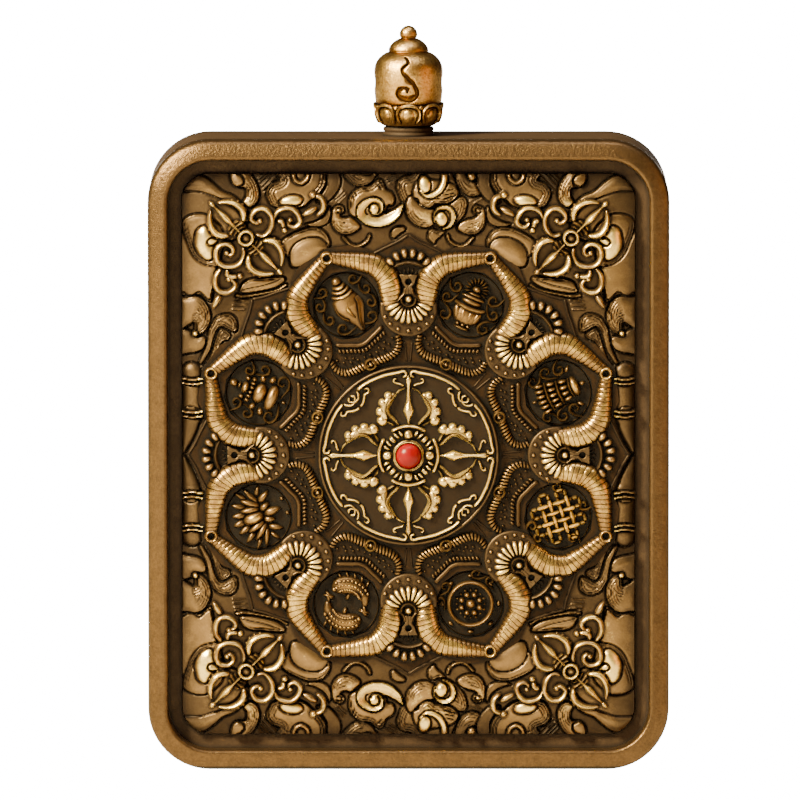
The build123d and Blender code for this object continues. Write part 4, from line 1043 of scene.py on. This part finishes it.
# %% The crossed vajra
def vajra_arm(bm, where):
    """One arm along +x from a seat to its tip, drawn at full size and then moved into its place."""
    older = set(bm.verts)
    prong = [0.13, 0.17, 0.38, 0.56, 0.42, 0.26, 0.2, 0.2, 0.22, 0.26, 0.34, 0.12]
    crest = [0.35, 0.4, 0.62, 0.85, 0.7, 0.5, 0.45, 0.45, 0.46, 0.5, 0.55, 0.3]
    sweep(bm, [(3.1, 0), (5.6, 0), (8.1, 0)], prong, crest, [0], arch(6), 33, blunt=True)
    seat = [(2.42, -1.72), (2.78, -0.95), (2.92, 0), (2.78, 0.95), (2.42, 1.72)]
    sweep(bm, seat, [0.21], [0.5], [0.1], arch(6), 14)
    dome(bm, 2.08, 0, 0.2, (0.58, 0.5, 0.55), cuts=(16, 10))
    dome(bm, 1.95, 0, 0.5, (0.3, 0.28, 0.42), cuts=(10, 6))
    for side in (1, -1):
        for place_at, turn in (((2.2, 0.78), 35), ((1.98, 1.2), 48), ((1.62, 1.52), 45)):
            dome(bm, place_at[0], place_at[1] * side, 0.15, (0.46, 0.2, 0.5), turn * side, cuts=(12, 8))
        for u, v, size in ((3.5, 2.62, 0.6), (4.4, 2.72, 0.58), (5.25, 2.52, 0.54), (5.95, 2.0, 0.5)):
            dome(bm, u, v * side, 0.0, (size, size, 0.7), cuts=(14, 10))
        leaf = [(3.3, 2.35), (4.1, 2.45), (4.9, 2.35), (5.6, 1.95), (6.25, 1.35)]
        leaf = [(u, v * side) for u, v in leaf]
        sweep(bm, leaf, [0.42, 0.56, 0.56, 0.48, 0.24], [0.55, 0.68, 0.7, 0.62, 0.4], [0], arch(6), 18)
        stem = [(3.0, 0.95), (3.5, 1.35), (4.0, 1.85), (4.6, 2.15), (5.2, 2.0), (5.8, 1.55), (6.15, 1.2)]
        stem = [(u, v * side) for u, v in stem]
        sweep(bm, stem, [0.16, 0.2, 0.22, 0.2, 0.15], [0.5, 0.65, 0.88, 0.78, 0.5], [0], SLIM, 20)
        wire(bm, [(2.95, 1.3 * side), (3.25, 1.8 * side), (3.5, 2.3 * side)], 0.17, 0, 8, rise=2.4)
        wire(bm, [(6.1, 1.3 * side), (6.5, 0.9 * side), (6.8, 0.25 * side)], 0.12, 0, 10, rise=3.0)
    bmesh.ops.transform(bm, matrix=where, verts=[v for v in bm.verts if v not in older])


bm = bmesh.new()
for k in range(4):
    vajra_arm(bm, at(0, 0, DISC, 90 * k))
slab(bm, [polar(1.6, a) for a in np.linspace(0, 360, 40, endpoint=False)], DISC - 0.1, 2.5, 0.15)
place(bm, "crossed_vajra", "case", "relief_brass", relief_brass, "double_vajra")
print("crossed vajra", len(bm.faces), "faces")
bm.free()

# %% The coral in its bezel
bm = bmesh.new()
ring(bm, 0, 0, 2.35, 1.36, 0.12, 0.5, 48, ROUND)
place(bm, "bead_bezel", "case", "relief_brass", relief_brass, "bead_cup")
bm.free()
bm = bmesh.new()
dome(bm, 0, 0, 2.55, (1.27, 1.27, 1.08), cuts=(40, 24))
place(bm, "coral_drop", "case", "coral", coral, "coral_bead")
print("coral", len(bm.faces), "faces")
bm.free()

# %% [markdown]
# Each corner carries a small vajra on the slant and two runs of scrolls that end in leaves. One corner
# is drawn on the upper right. A mirror matrix makes the other three, and turned-over faces are set
# right again.

# %% The corner vajras and scrolls
bm = bmesh.new()
CORNER = (16.2, 21.7)
for turn in (45, 225):
    older = set(bm.verts)
    prong = [0.2, 0.16, 0.2, 0.34, 0.36, 0.26, 0.16, 0.14]
    crest = [0.6, 0.6, 0.65, 0.9, 0.85, 0.7, 0.6, 0.5]
    sweep(bm, [(0.9, 0), (2.8, 0), (4.6, 0)], prong, crest, [1.45], arch(6), 28, blunt=True)
    dome(bm, 4.75, 0, 1.5, (0.46, 0.27, 0.55))
    for reach, half, thick in ((1.1, 0.7, 0.2), (1.5, 1.05, 0.24), (1.88, 0.75, 0.2)):
        sweep(
            bm, [(reach - 0.15, -half), (reach, 0), (reach - 0.15, half)], [thick], [0.5], [1.45], SLIM, 12,
        )
    for side in (1, -1):
        claw = [(1.35, 0.9), (1.75, 1.45), (2.45, 1.78), (3.3, 1.62), (4.0, 1.12), (4.5, 0.42)]
        claw = [(u, v * side) for u, v in claw]
        claw_half, claw_rise = [0.24, 0.34, 0.36, 0.32, 0.26, 0.16], [0.6, 0.85, 0.9, 0.85, 0.7, 0.5]
        sweep(bm, claw, claw_half, claw_rise, [1.4], ROUND, 24)
        for u, v in ((1.6, 1.62), (2.05, 1.95), (2.6, 2.08), (3.15, 1.98), (3.65, 1.7)):
            dome(bm, u, v * side, 1.45, (0.2, 0.2, 0.35), cuts=(10, 6))
    bmesh.ops.transform(bm, matrix=at(*CORNER, 0, turn), verts=[v for v in bm.verts if v not in older])
ring(bm, *CORNER, 1.5, 0.68, 0.2, 0.75, 28, ROUND)
dome(bm, *CORNER, 1.5, (0.56, 0.56, 0.3), cuts=(18, 10))
post = [polar(0.9, a) for a in range(0, 360, 12)]
slab(bm, [(CORNER[0] + u, CORNER[1] + v) for u, v in post], 0.8, 1.6, 0.1)
SCROLLS = [
    ([(16.5, 20.9), (16.4, 20.0), (16.9, 19.1), (18.0, 18.8), (18.9, 19.2), (19.2, 20.1), (18.9, 20.9),
      (18.1, 21.1), (17.5, 20.6), (17.7, 20.0), (18.2, 20.2)], 34),
    ([(18.6, 18.8), (19.2, 17.9), (19.2, 16.9), (18.7, 16.3), (17.9, 16.3), (17.3, 16.8), (17.4, 17.4),
      (17.9, 17.6)], 26),
    ([(18.1, 18.7), (18.0, 18.0), (17.5, 17.8), (16.9, 17.9)], 12),
    ([(15.3, 22.1), (14.4, 21.9), (13.7, 22.7), (13.6, 23.8), (14.3, 24.6), (15.2, 24.5), (15.7, 23.7),
      (15.2, 23.2), (14.7, 23.4)], 32),
    ([(13.5, 23.5), (13.0, 24.4), (11.9, 24.7), (11.1, 24.2), (10.8, 23.3), (11.4, 22.8), (12.0, 23.1),
      (11.8, 23.5)], 26),
    ([(13.2, 23.4), (12.6, 23.3), (12.4, 22.6)], 10),
    ([(9.2, 23.9), (8.5, 24.6), (8.6, 25.6), (9.4, 26.0)], 14),
]
for line, steps in SCROLLS:
    sweep(bm, line, [0.22, 0.3, 0.32, 0.3, 0.26], [0.6, 0.75, 0.8, 0.75, 0.6], [1.3], ROUND, steps)
SCROLL_BEADS = [
    (18.1, 20.2, 0.3), (17.9, 17.6, 0.33), (16.8, 17.9, 0.34), (14.8, 23.4, 0.3), (12.35, 22.5, 0.34),
    (9.5, 26.0, 0.38), (11.8, 23.5, 0.28),
]
for u, v, size in SCROLL_BEADS:
    dome(bm, u, v, 1.5, (size, size, 0.55))
dome(bm, 19.1, 15.4, 1.4, (0.34, 0.95, 0.6), 30, taper=0.25)
dome(bm, 9.9, 24.3, 1.4, (0.34, 1.0, 0.6), 62, taper=0.25)
CORNER_NAMES = ["top_right", "top_left", "bottom_left", "bottom_right"]
for (right, up), name in zip(CORNERS, CORNER_NAMES):
    side_at = RELIEF @ Matrix.Diagonal((right, up, 1, 1))
    node = f"corner_vajra_{name}"
    place(bm, f"scrolled_{name}", "case", "relief_brass", relief_brass, node, frame_at=side_at)
print("one corner", len(bm.faces), "faces")
bm.free()

# %% [markdown]
# The eight lucky signs lie in the dark wells, each with its head away from the centre: banner, vase,
# conch, parasol, lotus, fishes, wheel and knot. They are small and half lost in patina and painted
# shade, so a few good masses count more than fine lines. Each is drawn upright round its own zero point
# and then carried out to its well.

# %% How a sign is set in its well
WELL_FLOOR, WELL_RING, SIGN_SIZE = 0.72, 3.2, 1.1


def curl(bm, u, v, turn=0.0, size=0.36, way=1):
    """A ribbon end that winds in on itself."""
    line = [
        (2.4, -1.2), (1.2, -1.25), (0.0, -1.05), (-0.9, -0.3), (-0.8, 0.6), (0.0, 1.0), (0.75, 0.5),
        (0.5, -0.2), (0.0, -0.1),
    ]
    c, s = polar(size, turn)
    line = [(u + x * c - y * way * s, v + x * s + y * way * c) for x, y in line]
    sweep(bm, line, [0.08, 0.15, 0.17, 0.15, 0.12], [0.4, 0.6, 0.68, 0.6], [WELL_FLOOR], SLIM, 20)


def ribbons(bm, side, rows):
    """The ribbon ends on one side of a sign; rows are given for the right side."""
    for u, v, turn, size, way in rows:
        curl(bm, u * side, v, turn if side > 0 else 180 - turn, size, way * side)


def set_sign(bm, name, node, angle, finish=sign_brass):
    """Carries a finished sign out to its well, with its up turned outwards."""
    bmesh.ops.scale(bm, vec=(SIGN_SIZE, SIGN_SIZE, 1.0), verts=bm.verts)
    ring(bm, 0, 0, WELL_FLOOR - 0.05, WELL_RING, 0.08, 0.24, 64)
    spot = Matrix.Translation((*polar(WELL, angle), 0)) @ Matrix.Rotation(math.radians(angle - 90), 4, "Z")
    place(bm, name, "case", "relief_brass", finish, node, frame_at=RELIEF @ spot)
    print(name, len(bm.faces), "faces")
    bm.free()


# %% The treasure vase
bm = bmesh.new()
dome(bm, 0, -1.0, WELL_FLOOR, (1.38, 1.0, 0.8), cuts=(28, 16))
for x in (-0.95, -0.33, 0.33, 0.95):
    dome(bm, x, -1.05 + abs(x) * 0.12, 1.05, (0.3, 0.72, 0.58 - abs(x) * 0.2), -x * 14, (12, 8), 0.25)
shoulder = [(-1.5, -0.1), (-0.8, -0.3), (0, -0.36), (0.8, -0.3), (1.5, -0.1)]
sweep(bm, shoulder, [0.15, 0.2, 0.2, 0.15], [0.45], [1.05, 1.25, 1.3, 1.25, 1.05], SLIM, 16)
dome(bm, 0, 0.25, WELL_FLOOR, (1.0, 0.38, 0.8), cuts=(18, 10))
dome(bm, 0, 0.68, 0.95, (1.15, 0.2, 0.65), cuts=(18, 10))
dome(bm, 0, 1.0, 0.9, (0.75, 0.18, 0.55))
dome(bm, 0, 1.5, 0.95, (0.42, 0.28, 0.75))
for turn in range(-110, 111, 20):
    u, v = polar(0.82, 90 + turn)
    dome(bm, u, 1.45 + v, WELL_FLOOR, (0.12, 0.38, 0.65), turn, cuts=(8, 6))
dome(bm, 0, -2.25, WELL_FLOOR, (0.85, 0.2, 0.6))
for x in (-0.5, 0, 0.5):
    dome(bm, x, -1.95, 0.9, (0.22, 0.2, 0.5), cuts=(10, 6))
for side in (1, -1):
    ribbons(bm, side, ((1.85, 1.05, 70, 0.46, 1), (2.2, -0.15, 110, 0.42, -1), (1.85, -1.55, 20, 0.5, -1)))
set_sign(bm, "sign_vase", "treasure_vase", 67.5)

# %% The conch shell
bm = bmesh.new()
shell = [(0.0, 1.5), (0.05, 0.7), (0.1, -0.3), (0.35, -1.4), (0.55, -2.8)]
sweep(
    bm, shell, [0.9, 1.25, 1.35, 1.0, 0.5, 0.16], [0.7, 0.9, 0.95, 0.75, 0.5, 0.3], [WELL_FLOOR], ROUND, 26,
)
dome(bm, -0.05, 2.25, WELL_FLOOR, (0.5, 0.5, 0.75), cuts=(14, 10))
for v, half in ((1.85, 0.62), (1.45, 0.85), (1.0, 1.05)):
    whorl = [(-half, v + 0.12), (-half / 2, v - 0.12), (0, v - 0.2), (half / 2, v - 0.12), (half, v + 0.12)]
    sweep(bm, whorl, [0.16, 0.24, 0.24, 0.16], [0.5, 0.6, 0.5], [0.8, 1.1, 1.2, 1.1, 0.8], arch(6), 16)
outer_lip = [(1.1, 0.5), (1.25, -0.2), (1.0, -1.1), (0.75, -1.9), (0.65, -2.7)]
sweep(bm, outer_lip, [0.2, 0.28, 0.26, 0.2, 0.1], [0.55], [1.0, 1.1, 1.0, 0.85], SHELL, 20)
sweep(bm, [(0.3, 0.35), (0.0, -0.4), (0.35, -1.4)], [0.1, 0.2, 0.1], [0.3], [1.3, 1.5, 1.2], SLIM, 12)
sweep(bm, [(-1.05, 0.1), (-0.85, -0.8), (-0.2, -1.5)], [0.14], [0.35], [0.95, 1.1, 1.05], SLIM, 12)
for u, v, turn, size, way in (
    (1.5, 1.9, 40, 0.4, 1), (2.15, 0.7, 80, 0.4, -1), (2.25, -0.6, 120, 0.4, 1), (1.75, -1.9, 160, 0.46, -1),
    (-1.6, 1.8, 150, 0.4, -1), (-2.2, 0.7, 100, 0.42, 1), (-2.0, -0.7, 60, 0.42, -1),
    (-1.1, -2.0, 20, 0.48, 1),
):
    curl(bm, u, v, turn, size, way)
set_sign(bm, "sign_conch", "conch_shell", 112.5)

# %% The parasol
bm = bmesh.new()
dome(bm, 0, 2.4, WELL_FLOOR, (0.4, 0.42, 0.8), cuts=(14, 10))
dome(bm, 0, 1.85, WELL_FLOOR, (0.36, 0.14, 0.75))
dome(bm, 0, 1.3, WELL_FLOOR, (0.62, 0.36, 1.0), cuts=(14, 10))
for x in (-0.9, -0.55, -0.2, 0.2, 0.55, 0.9):
    dome(bm, x * 1.1, 0.68 + 0.1 * abs(x), WELL_FLOOR, (0.24, 0.26, 0.85), cuts=(10, 8))
dome(bm, 0, -0.12, WELL_FLOOR, (1.02, 0.64, 1.05), cuts=(18, 12))
dome(bm, 0, -1.28, WELL_FLOOR, (1.3, 0.6, 1.0), cuts=(18, 12))
dome(bm, 0, -2.45, WELL_FLOOR, (0.2, 0.26, 0.5), cuts=(10, 6))
for side in (1, -1):
    dome(bm, 0.88 * side, 1.35, WELL_FLOOR, (0.27, 0.27, 0.75), cuts=(10, 8))
    dome(bm, 1.35 * side, 0.08, WELL_FLOOR, (0.44, 0.3, 0.8), 25 * side, cuts=(12, 8))
    dome(bm, 1.55 * side, -0.78, WELL_FLOOR, (0.44, 0.3, 0.8), -20 * side, cuts=(12, 8))
    ribbons(bm, side, ((1.6, 1.45, 50, 0.4, 1), (2.05, 0.2, 90, 0.44, -1), (1.65, -1.85, 160, 0.56, -1)))
set_sign(bm, "sign_parasol", "parasol", 157.5)

# %% The lotus flower
bm = bmesh.new()
dome(bm, 0, 0.5, WELL_FLOOR, (0.62, 1.02, 1.05), cuts=(20, 14))
for side in (1, -1):
    for u, v, turn, size in (
        (0.82, 0.55, -14, (0.36, 0.98, 0.85)), (1.4, 0.3, -38, (0.34, 1.0, 0.78)),
        (2.0, 0.0, -66, (0.28, 1.0, 0.65)), (0.7, 1.6, -14, (0.34, 0.75, 0.55)),
        (1.5, 1.35, -32, (0.3, 0.75, 0.5)), (2.3, 0.85, -52, (0.24, 0.7, 0.45)),
        (0.62, -0.85, -158, (0.34, 0.6, 0.7)), (1.5, -1.1, -150, (0.34, 0.75, 0.65)),
        (2.2, -0.75, -125, (0.24, 0.6, 0.5)),
    ):
        dome(bm, u * side, v, WELL_FLOOR, size, turn * side, (14, 8), -0.35)
    dome(bm, 0.7 * side, -2.55, WELL_FLOOR, (0.24, 0.24, 0.45), cuts=(10, 6))
dome(bm, 0, 1.85, WELL_FLOOR, (0.36, 0.65, 0.5), cuts=(14, 8), taper=-0.35)
dome(bm, 0, -1.35, WELL_FLOOR, (0.44, 0.85, 0.8), 180, (14, 10), -0.4)
set_sign(bm, "sign_lotus", "lotus_flower", 202.5)

# %% The two fishes
bm = bmesh.new()
for turn in (0, 180):
    body = [polar(1.72, turn + a) for a in (160, 130, 100, 70, 40, 10)]
    girth, back = [0.6, 0.88, 0.92, 0.78, 0.5, 0.22], [0.7, 0.88, 0.88, 0.75, 0.55, 0.4]
    sweep(bm, body, girth, back, [WELL_FLOOR], ROUND, 26)
    for a in range(48, 142, 10):
        for r in (1.3, 1.72, 2.14):
            off = 5 if r == 1.72 else 0
            dome(bm, *polar(r, turn + a + off), 1.4, (0.15, 0.19, 0.26), turn + a, cuts=(8, 6))
    for a, lean in ((2, 30), (-4, 60), (-2, 100)):
        dome(bm, *polar(1.75, turn + a), WELL_FLOOR, (0.2, 0.62, 0.6), turn + lean, cuts=(10, 6))
    for a in (125, 110, 95, 80, 65):
        dome(bm, *polar(2.6, turn + a), WELL_FLOOR, (0.14, 0.42, 0.55), turn + a - 70, cuts=(8, 6))
    dome(bm, *polar(1.75, turn + 152), 1.4, (0.2, 0.2, 0.3), cuts=(8, 6))
    dome(bm, *polar(0.72, turn + 100), WELL_FLOOR, (0.22, 0.5, 0.55), turn, cuts=(8, 6))
set_sign(bm, "sign_fishes", "golden_fish", 247.5)

# %% The wheel
bm = bmesh.new()
ring(bm, 0, 0, WELL_FLOOR, 1.96, 0.21, 0.9, 56, ROUND)
dome(bm, 0, 0, WELL_FLOOR, (0.46, 0.46, 1.0), cuts=(16, 10))
for a in range(0, 360, 45):
    dome(bm, *polar(0.88, a), WELL_FLOOR, (0.3, 0.3, 0.9), cuts=(12, 8))
    dome(bm, *polar(1.28, a), WELL_FLOOR, (0.13, 0.22, 0.55), a - 90, cuts=(8, 6))
    dome(bm, *polar(1.25, a + 22.5), WELL_FLOOR, (0.13, 0.13, 0.5), cuts=(8, 6))
    dome(bm, *polar(2.55, a + 22.5), WELL_FLOOR, (0.34, 0.22, 0.5), a - 67.5, cuts=(10, 6))
for side in (1, -1):
    curl(bm, 1.5 * side, -2.25, 0 if side > 0 else 180, 0.4, -side)
    curl(bm, 2.4 * side, -1.25, 60 if side > 0 else 120, 0.34, -side)
set_sign(bm, "sign_wheel", "dharma_wheel", 292.5)

# %% The endless knot
bm = bmesh.new()
LACE = (-1.2, -0.4, 0.4, 1.2)
for k, lane in enumerate(LACE):
    for flip in (False, True):
        weave = [WELL_FLOOR + (0.42 if (k + j + flip) % 2 else 0.1) for j in range(4)]
        line = [(x, lane) for x in (-1.7, -1.2, -0.4, 0.4, 1.2, 1.7)]
        line = [(y, x) for x, y in line] if flip else line
        sweep(bm, line, [0.2], [0.58], [weave[0]] + weave + [weave[-1]], SLIM, 24)
for side in (1, -1):
    for low, high in ((-1.2, -0.4), (0.4, 1.2)):
        corners = [(1.6 * side, low), (2.25 * side, low), (2.25 * side, high), (1.6 * side, high)]
        for a, b in zip(corners, corners[1:]):
            wire(bm, [a, b], 0.21, WELL_FLOOR, 8, SLIM, 3.9)
            wire(bm, [a[::-1], b[::-1]], 0.21, WELL_FLOOR, 8, SLIM, 3.9)
bmesh.ops.rotate(bm, cent=(0, 0, 0), matrix=Matrix.Rotation(math.radians(40), 3, "Z"), verts=bm.verts)
for u, v, turn, way in (
    (1.75, -1.9, 20, 1), (-1.75, 1.75, 150, 1), (2.5, -0.9, 60, -1), (-2.4, -1.1, 120, 1),
    (1.3, 2.0, 40, -1),
):
    curl(bm, u, v, turn, 0.38, way)
set_sign(bm, "sign_knot", "endless_knot", 337.5, knot_brass)

# %% The victory banner
bm = bmesh.new()
dome(bm, 0, 2.3, WELL_FLOOR, (0.2, 0.34, 0.75), cuts=(10, 8))
dome(bm, 0, 1.55, WELL_FLOOR, (1.0, 0.48, 1.05), cuts=(18, 12))
for v, half, pleats in ((0.75, 0.92, 4), (-0.35, 1.14, 5), (-1.4, 1.36, 6)):
    hem = [(-half, v + 0.5), (0, v + 0.36), (half, v + 0.5)]
    sweep(bm, hem, [0.1, 0.15, 0.1], [0.5], [0.95, 1.15, 0.95], SLIM, 14)
    for k in range(pleats):
        x = half * 0.88 * (2 * k / (pleats - 1) - 1)
        hang = v - 0.18 + 0.12 * (x / half) ** 2
        dome(bm, x, hang, WELL_FLOOR, (half / pleats, 0.56, 1.0 - 0.15 * abs(x)), 8 * x, (12, 8), -0.2)
dome(bm, 0, -2.35, WELL_FLOOR, (0.16, 0.3, 0.6), cuts=(10, 8))
for side in (1, -1):
    dome(bm, 1.7 * side, 1.5, WELL_FLOOR, (0.22, 0.42, 0.65), -40 * side, cuts=(10, 8), taper=-0.3)
    ribbons(bm, side, ((1.95, 0.75, 60, 0.46, 1), (2.05, -0.45, 100, 0.48, -1), (1.7, -1.7, 20, 0.46, -1)))
set_sign(bm, "sign_banner", "victory_banner", 22.5)

# %% [markdown]
# On top sits a covered vase in a lotus cup. The vase is turned on a lathe: one profile, spun right
# round. The cord runs sideways through it, so a bore is cut with a boolean. The flame curl on its front
# is cut the same way, with a swept groove that is bent round the vase first.

# %% The vase with its bore and flame curl
vase_low, vase_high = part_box("vase_finial")
FINIAL_Y = (vase_low.y + vase_high.y) / 2
LATHE = Matrix.Translation((0, FINIAL_Y, 0)) @ Matrix.Scale(MM, 4)
BORE_Z, BORE_R, BORE_LONG = 68.4, 0.8, 9.0


def turned(bm, profile, steps=64):
    """A profile of radius and height, spun round the upright axis and merged at the seam."""
    line = [bm.verts.new((r, 0, z)) for r, z in profile]
    edges = [bm.edges.new(pair) for pair in zip(line, line[1:])]
    bmesh.ops.spin(
        bm, geom=line + edges, cent=(0, 0, 0), axis=(0, 0, 1), angle=2 * math.pi, steps=steps,
        use_merge=True,
    )
    bmesh.ops.remove_doubles(bm, verts=bm.verts, dist=1e-4)


def carve(piece, cutter):
    """Takes one closed shape out of a piece for good, then throws the cutter away."""
    mesh = bpy.data.meshes.new("cutter")
    bmesh.ops.recalc_face_normals(cutter, faces=cutter.faces)
    cutter.to_mesh(mesh)
    cutter.free()
    mesh.transform(LATHE)
    tool = bpy.data.objects.new("cutter", mesh)
    stage.collection.objects.link(tool)
    step = piece.modifiers.new("carve", "BOOLEAN")
    step.operation = "DIFFERENCE"
    step.solver = "EXACT"
    step.object = tool
    bpy.context.view_layer.objects.active = piece
    bpy.ops.object.modifier_apply(modifier=step.name)
    bpy.data.objects.remove(tool)
    bpy.data.meshes.remove(mesh)


VASE = [
    (0, 66.0), (3.1, 66.0), (3.28, 66.3), (3.36, 66.8), (3.41, 67.4), (3.44, 68.2), (3.45, 69.0),
    (3.43, 69.6), (3.36, 70.0), (3.2, 70.4), (2.95, 70.75), (2.62, 71.05), (2.3, 71.25), (2.02, 71.36),
]
LID = [
    (1.96, 71.4), (2.0, 71.52), (1.97, 71.7), (1.83, 71.98), (1.58, 72.28), (1.25, 72.53), (0.98, 72.66),
    (0.8, 72.7), (0.78, 72.76), (0.86, 72.9), (0.9, 73.1), (0.87, 73.33), (0.76, 73.58), (0.56, 73.8),
    (0.3, 73.95), (0, 74.0),
]
bm = bmesh.new()
turned(bm, VASE + LID, 72)
vase = place(bm, "covered_vase", "finial", "polished_brass", polished_brass, "vase_finial", frame_at=LATHE)
bm.free()
bore = bmesh.new()
across = Matrix.Translation((0, 0, BORE_Z)) @ Matrix.Rotation(math.pi / 2, 4, "Y")
bmesh.ops.create_cone(
    bore, cap_ends=True, segments=40, radius1=BORE_R, radius2=BORE_R, depth=BORE_LONG, matrix=across
)
carve(vase, bore)
FLAME = [
    (-0.44, 71.0), (0.0, 70.5), (-0.68, 69.65), (0.1, 68.8), (0.62, 68.15), (0.88, 67.4), (0.55, 66.85),
    (-0.1, 66.7), (-0.8, 66.95), (-1.05, 67.45), (-0.6, 67.95), (-0.1, 67.8), (-0.15, 67.42),
]
groove = bmesh.new()
sweep(groove, FLAME, [0.09, 0.13, 0.16, 0.18, 0.2, 0.22, 0.2, 0.17, 0.14], [0.3], [0.0], arch(6, -0.9), 70)
for vert in groove.verts:
    x, z, h = vert.co
    reach = np.interp(z, [p[1] for p in VASE], [p[0] for p in VASE])
    vert.co = (x, -(math.sqrt(reach**2 - x**2) - 0.02 + h * 0.8), z)
carve(vase, groove)
for edge in vase.data.edges:
    edge.use_edge_sharp = False
print("vase", len(vase.data.polygons), "faces after cutting")

# %% [markdown]
# The lotus cup under the vase has eight petals with a raised, rounded lip. A petal is drawn flat and
# wrapped round the cup, so that its height over the sheet becomes height over the cup's wall. On the
# sheet the petals stand 45 apart, far more than a petal's width, so a point's place tells which petal
# it belongs to.

# %% The lotus cup
HALF_PITCH, CUP_R = 22.5, 3.3
CUP = [
    (0, 64.0), (2.5, 64.0), (2.72, 64.12), (3.0, 64.4), (3.2, 64.75), (3.3, 65.2), (3.32, 65.7),
    (3.3, 66.0), (3.2, 66.12), (0, 66.12),
]
bm = bmesh.new()
turned(bm, CUP, 64)
wall = bmesh.new()
for k in range(8):
    lip = [
        (-0.85, 64.25), (-1.12, 64.9), (-1.08, 65.55), (-0.7, 66.0), (0, 66.18), (0.7, 66.0), (1.08, 65.55),
        (1.12, 64.9), (0.85, 64.25),
    ]
    shift = k * 2 * HALF_PITCH
    sweep(
        wall, [(x + shift, z) for x, z in lip], [0.14, 0.17, 0.2, 0.17, 0.14], [0.26, 0.3, 0.36, 0.3, 0.26],
        [0.0], SLIM, 34,
    )
    dome(wall, shift, 65.05, -0.1, (0.66, 0.8, 0.24), cuts=(14, 10))
    dome(wall, shift + HALF_PITCH, 65.9, 0.0, (0.3, 0.32, 0.22), cuts=(10, 8))
for vert in wall.verts:
    x, z, h = vert.co
    petal = round(x / HALF_PITCH)
    around = math.radians(petal * HALF_PITCH) + (x - petal * HALF_PITCH) / CUP_R
    reach = np.interp(z, [p[1] for p in CUP[1:-1]], [p[0] for p in CUP[1:-1]]) + h
    vert.co = (reach * math.sin(around), -reach * math.cos(around), z)
sheet = bpy.data.meshes.new("petals")
wall.to_mesh(sheet)
wall.free()
bm.from_mesh(sheet)
bpy.data.meshes.remove(sheet)
place(bm, "lotus_petals", "finial", "polished_brass", cup_brass, "lotus_cup", frame_at=LATHE)
print("lotus cup", len(bm.faces), "faces")
bm.free()

# %% The neck ring
bm = bmesh.new()
COLLAR = [
    (1.35, 63.0), (2.5, 63.0), (2.54, 63.1), (2.54, 63.26), (2.44, 63.36), (2.44, 63.44), (2.53, 63.54),
    (2.53, 63.72), (2.45, 63.86), (2.3, 63.9), (1.35, 63.9), (1.35, 63.0),
]
turned(bm, COLLAR)
place(bm, "neck_ring", "case", "dark_brass", dark_brass, "neck_collar", frame_at=LATHE)
print("neck ring", len(bm.faces), "faces")
bm.free()
